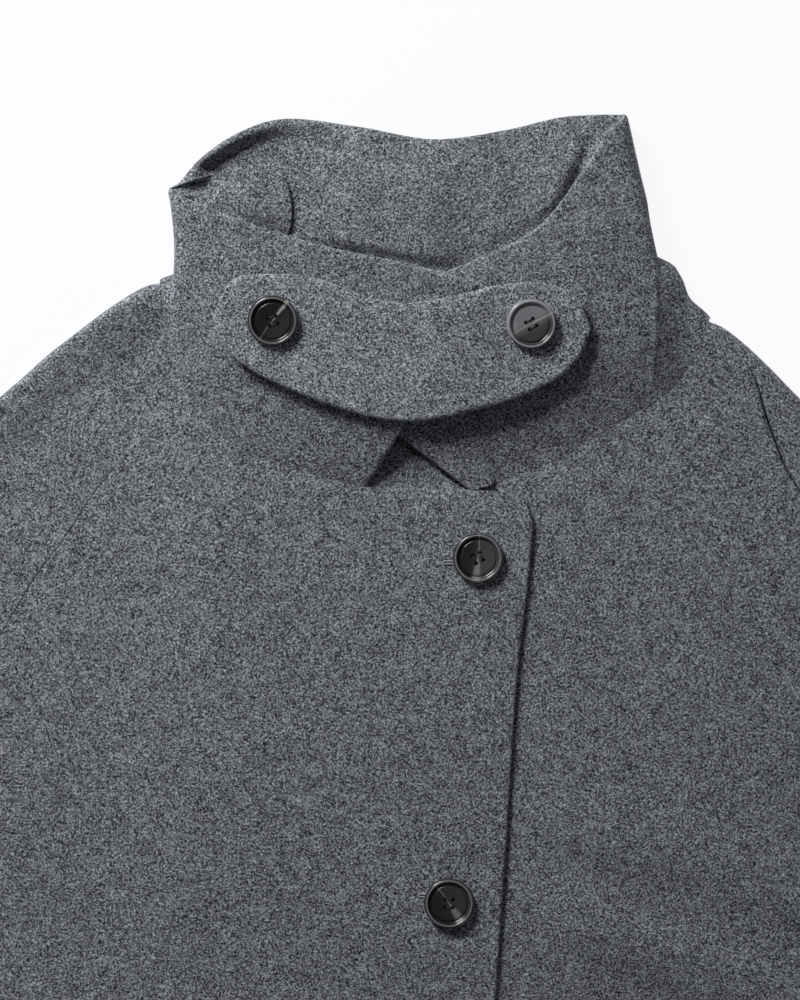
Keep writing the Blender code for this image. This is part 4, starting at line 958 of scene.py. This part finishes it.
def horn(name, direction, widths, strengths, lit_and_shaded_sides, rim):
    """Polished dark horn with a pale streak across it, one side painted lighter as a highlight, and a
    highlight painted round its rim.
    """
    made, shader = new_material(name, {"Roughness": 0.26, "Coat Weight": 0.4, "Coat Roughness": 0.12})
    tree = made.node_tree

    def graded(value, low, high, at_low, at_high):
        return new_node(tree, "MapRange", {
            "Value": value, "From Min": low, "From Max": high, "To Min": at_low, "To Max": at_high,
        }, interpolation_type="SMOOTHSTEP").outputs["Result"]

    def mixed(share, one, other):
        mix = new_node(tree, "Mix", {"Factor": share, "A": one, "B": other}, data_type="RGBA")
        return mix.outputs["Result"]

    def tone_of(paleness):
        return (*[paleness * c for c in HORN_TINT], 1.0)

    turned = new_node(tree, "Mapping", {
        "Vector": new_node(tree, "TexCoord", {}).outputs["Object"],
        "Rotation": (0.0, 0.0, math.radians(direction)), "Scale": (BUTTON_RADIUS * MM,) * 3,
    }, vector_type="TEXTURE").outputs["Vector"]
    x, y = new_node(tree, "SeparateXYZ", {"Vector": turned}).outputs[:2]
    grain = new_node(tree, "TexNoise", {"Vector": turned, "Scale": 2.4, "Detail": 3.0}).outputs["Fac"]
    off = maths(tree, "ADD", y, maths(tree, "MULTIPLY_ADD", grain, WOBBLE, -WOBBLE / 2))
    width = maths(tree, "MULTIPLY_ADD", maths(tree, "MAXIMUM", x, 0.0), widths[1], widths[0])
    streak = graded(maths(tree, "DIVIDE", maths(tree, "ABSOLUTE", off), width), *STREAK_BLEND, 1.0, 0.0)
    strength = graded(x, *CENTRE_BLEND, strengths[1], strengths[0])
    # One side of the streak is painted lighter than the other: a painted highlight.
    ground = mixed(graded(off, *SIDES_BLEND, 0.0, 1.0), tone_of(lit_and_shaded_sides[1]), tone_of(lit_and_shaded_sides[0]))
    # The rim's crest is painted pale: a painted highlight.
    squares = [maths(tree, "MULTIPLY", part, part) for part in (x, y)]
    reach = maths(tree, "SQRT", maths(tree, "ADD", *squares))
    from_rim = maths(tree, "ABSOLUTE", maths(tree, "SUBTRACT", reach, RIM_CREST))
    ground = mixed(graded(from_rim, *RIM_BLEND, 1.0, 0.0), ground, tone_of(rim))
    feed(shader, {"Base Color": mixed(maths(tree, "MULTIPLY", streak, strength), ground, PALE_HORN)})
    return made


def turned_disc():
    """One button, turned from its profile and drilled."""
    ring = around((1.0,), BUTTON_SIDES)
    points = [(0.0, 0.0, BUTTON_PROFILE[0][1] * MM)]
    for reach, height in BUTTON_PROFILE[1:-1]:
        points += [(reach * c * MM, reach * s * MM, height * MM) for c, s in ring]
    points.append((0.0, 0.0, BUTTON_PROFILE[-1][1] * MM))
    last = 1 + (len(BUTTON_PROFILE) - 3) * BUTTON_SIDES
    faces = []
    for k in range(BUTTON_SIDES):
        after = (k + 1) % BUTTON_SIDES
        faces.append((0, 1 + after, 1 + k))
        for r in range(len(BUTTON_PROFILE) - 3):
            near, far = 1 + r * BUTTON_SIDES, 1 + (r + 1) * BUTTON_SIDES
            faces.append((near + k, near + after, far + after, far + k))
        faces.append((last + k, last + after, len(points) - 1))
    disc = put_mesh("disc", points, faces)
    points, faces = [], []
    for sx, sy in ((-1, -1), (-1, 1), (1, -1), (1, 1)):
        low = len(points)
        high = low + HOLE_SIDES
        for height in (DRILL_FROM, DRILL_TO):
            points += [((sx * HOLE_OFFSET + dx) * MM, (sy * HOLE_OFFSET + dy) * MM, height * MM)
                       for dx, dy in around((HOLE_RADIUS,), HOLE_SIDES)]
        faces += [tuple(range(low, high))[::-1], tuple(range(high, high + HOLE_SIDES))]
        for k in range(HOLE_SIDES):
            after = (k + 1) % HOLE_SIDES
            faces.append((low + k, low + after, high + after, high + k))
    drill = put_mesh("drill", points, faces)
    cut = disc.modifiers.new("holes", "BOOLEAN")
    cut.operation = "DIFFERENCE"
    cut.object = drill
    bpy.context.view_layer.update()
    drilled = bpy.data.meshes.new_from_object(disc.evaluated_get(bpy.context.evaluated_depsgraph_get()))
    for thing in (disc, drill):
        bpy.data.objects.remove(thing)
    drilled.shade_smooth()
    drilled.set_sharp_from_angle(angle=HORN_SHARP)
    return drilled


dark_thread = new_material("dark thread", {"Base Color": (0.02, 0.02, 0.023, 1.0), "Roughness": 0.6})[0]
drilled = turned_disc()
for name, carrier, x, y, turn, direction, widths, strengths, lit_and_shaded_sides, rim in BUTTONS:
    tree = felt(carrier)
    ring = around(BUTTON_FEELERS, BUTTON_FEELER_TURNS)
    found = np.array([(dx, dy, top_of(tree, x + dx, y + dy)) for dx, dy in ring])
    slope = np.linalg.lstsq(np.column_stack([found[:, :2], np.ones(len(found))]), found[:, 2], rcond=None)[0]
    lift = np.max(found[:, 2] - found[:, :2] @ slope[:2]) + BUTTON_CLEAR
    up = Vector((-slope[0], -slope[1], 1.0)).normalized()
    facing = Vector((0, 0, 1)).rotation_difference(up).to_matrix().to_4x4()
    place = Matrix.Translation((x * MM, y * MM + NECK_POINTS_Y, lift * MM)) @ facing
    place = place @ Matrix.Rotation(math.radians(turn), 4, "Z")
    button = put_in_scene(name + "_turned", drilled.copy())
    button.data.materials.append(horn("dark horn " + name, direction - turn, widths, strengths, lit_and_shaded_sides, rim))
    button.matrix_world = place
    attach(button, "root")
    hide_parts(name)
    for row in (-1, 1):
        arch = [(HOLE_OFFSET * math.cos(a), row * HOLE_OFFSET, THREAD_FOOT + THREAD_RISE * math.sin(a))
                for a in np.linspace(math.pi, 0.0, THREAD_POINTS)]
        corded(f"{name}_thread_{(row + 3) // 2}", arch, THREAD_RADIUS, False, dark_thread, place)


# The bounds of all that is shown.
low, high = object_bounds()
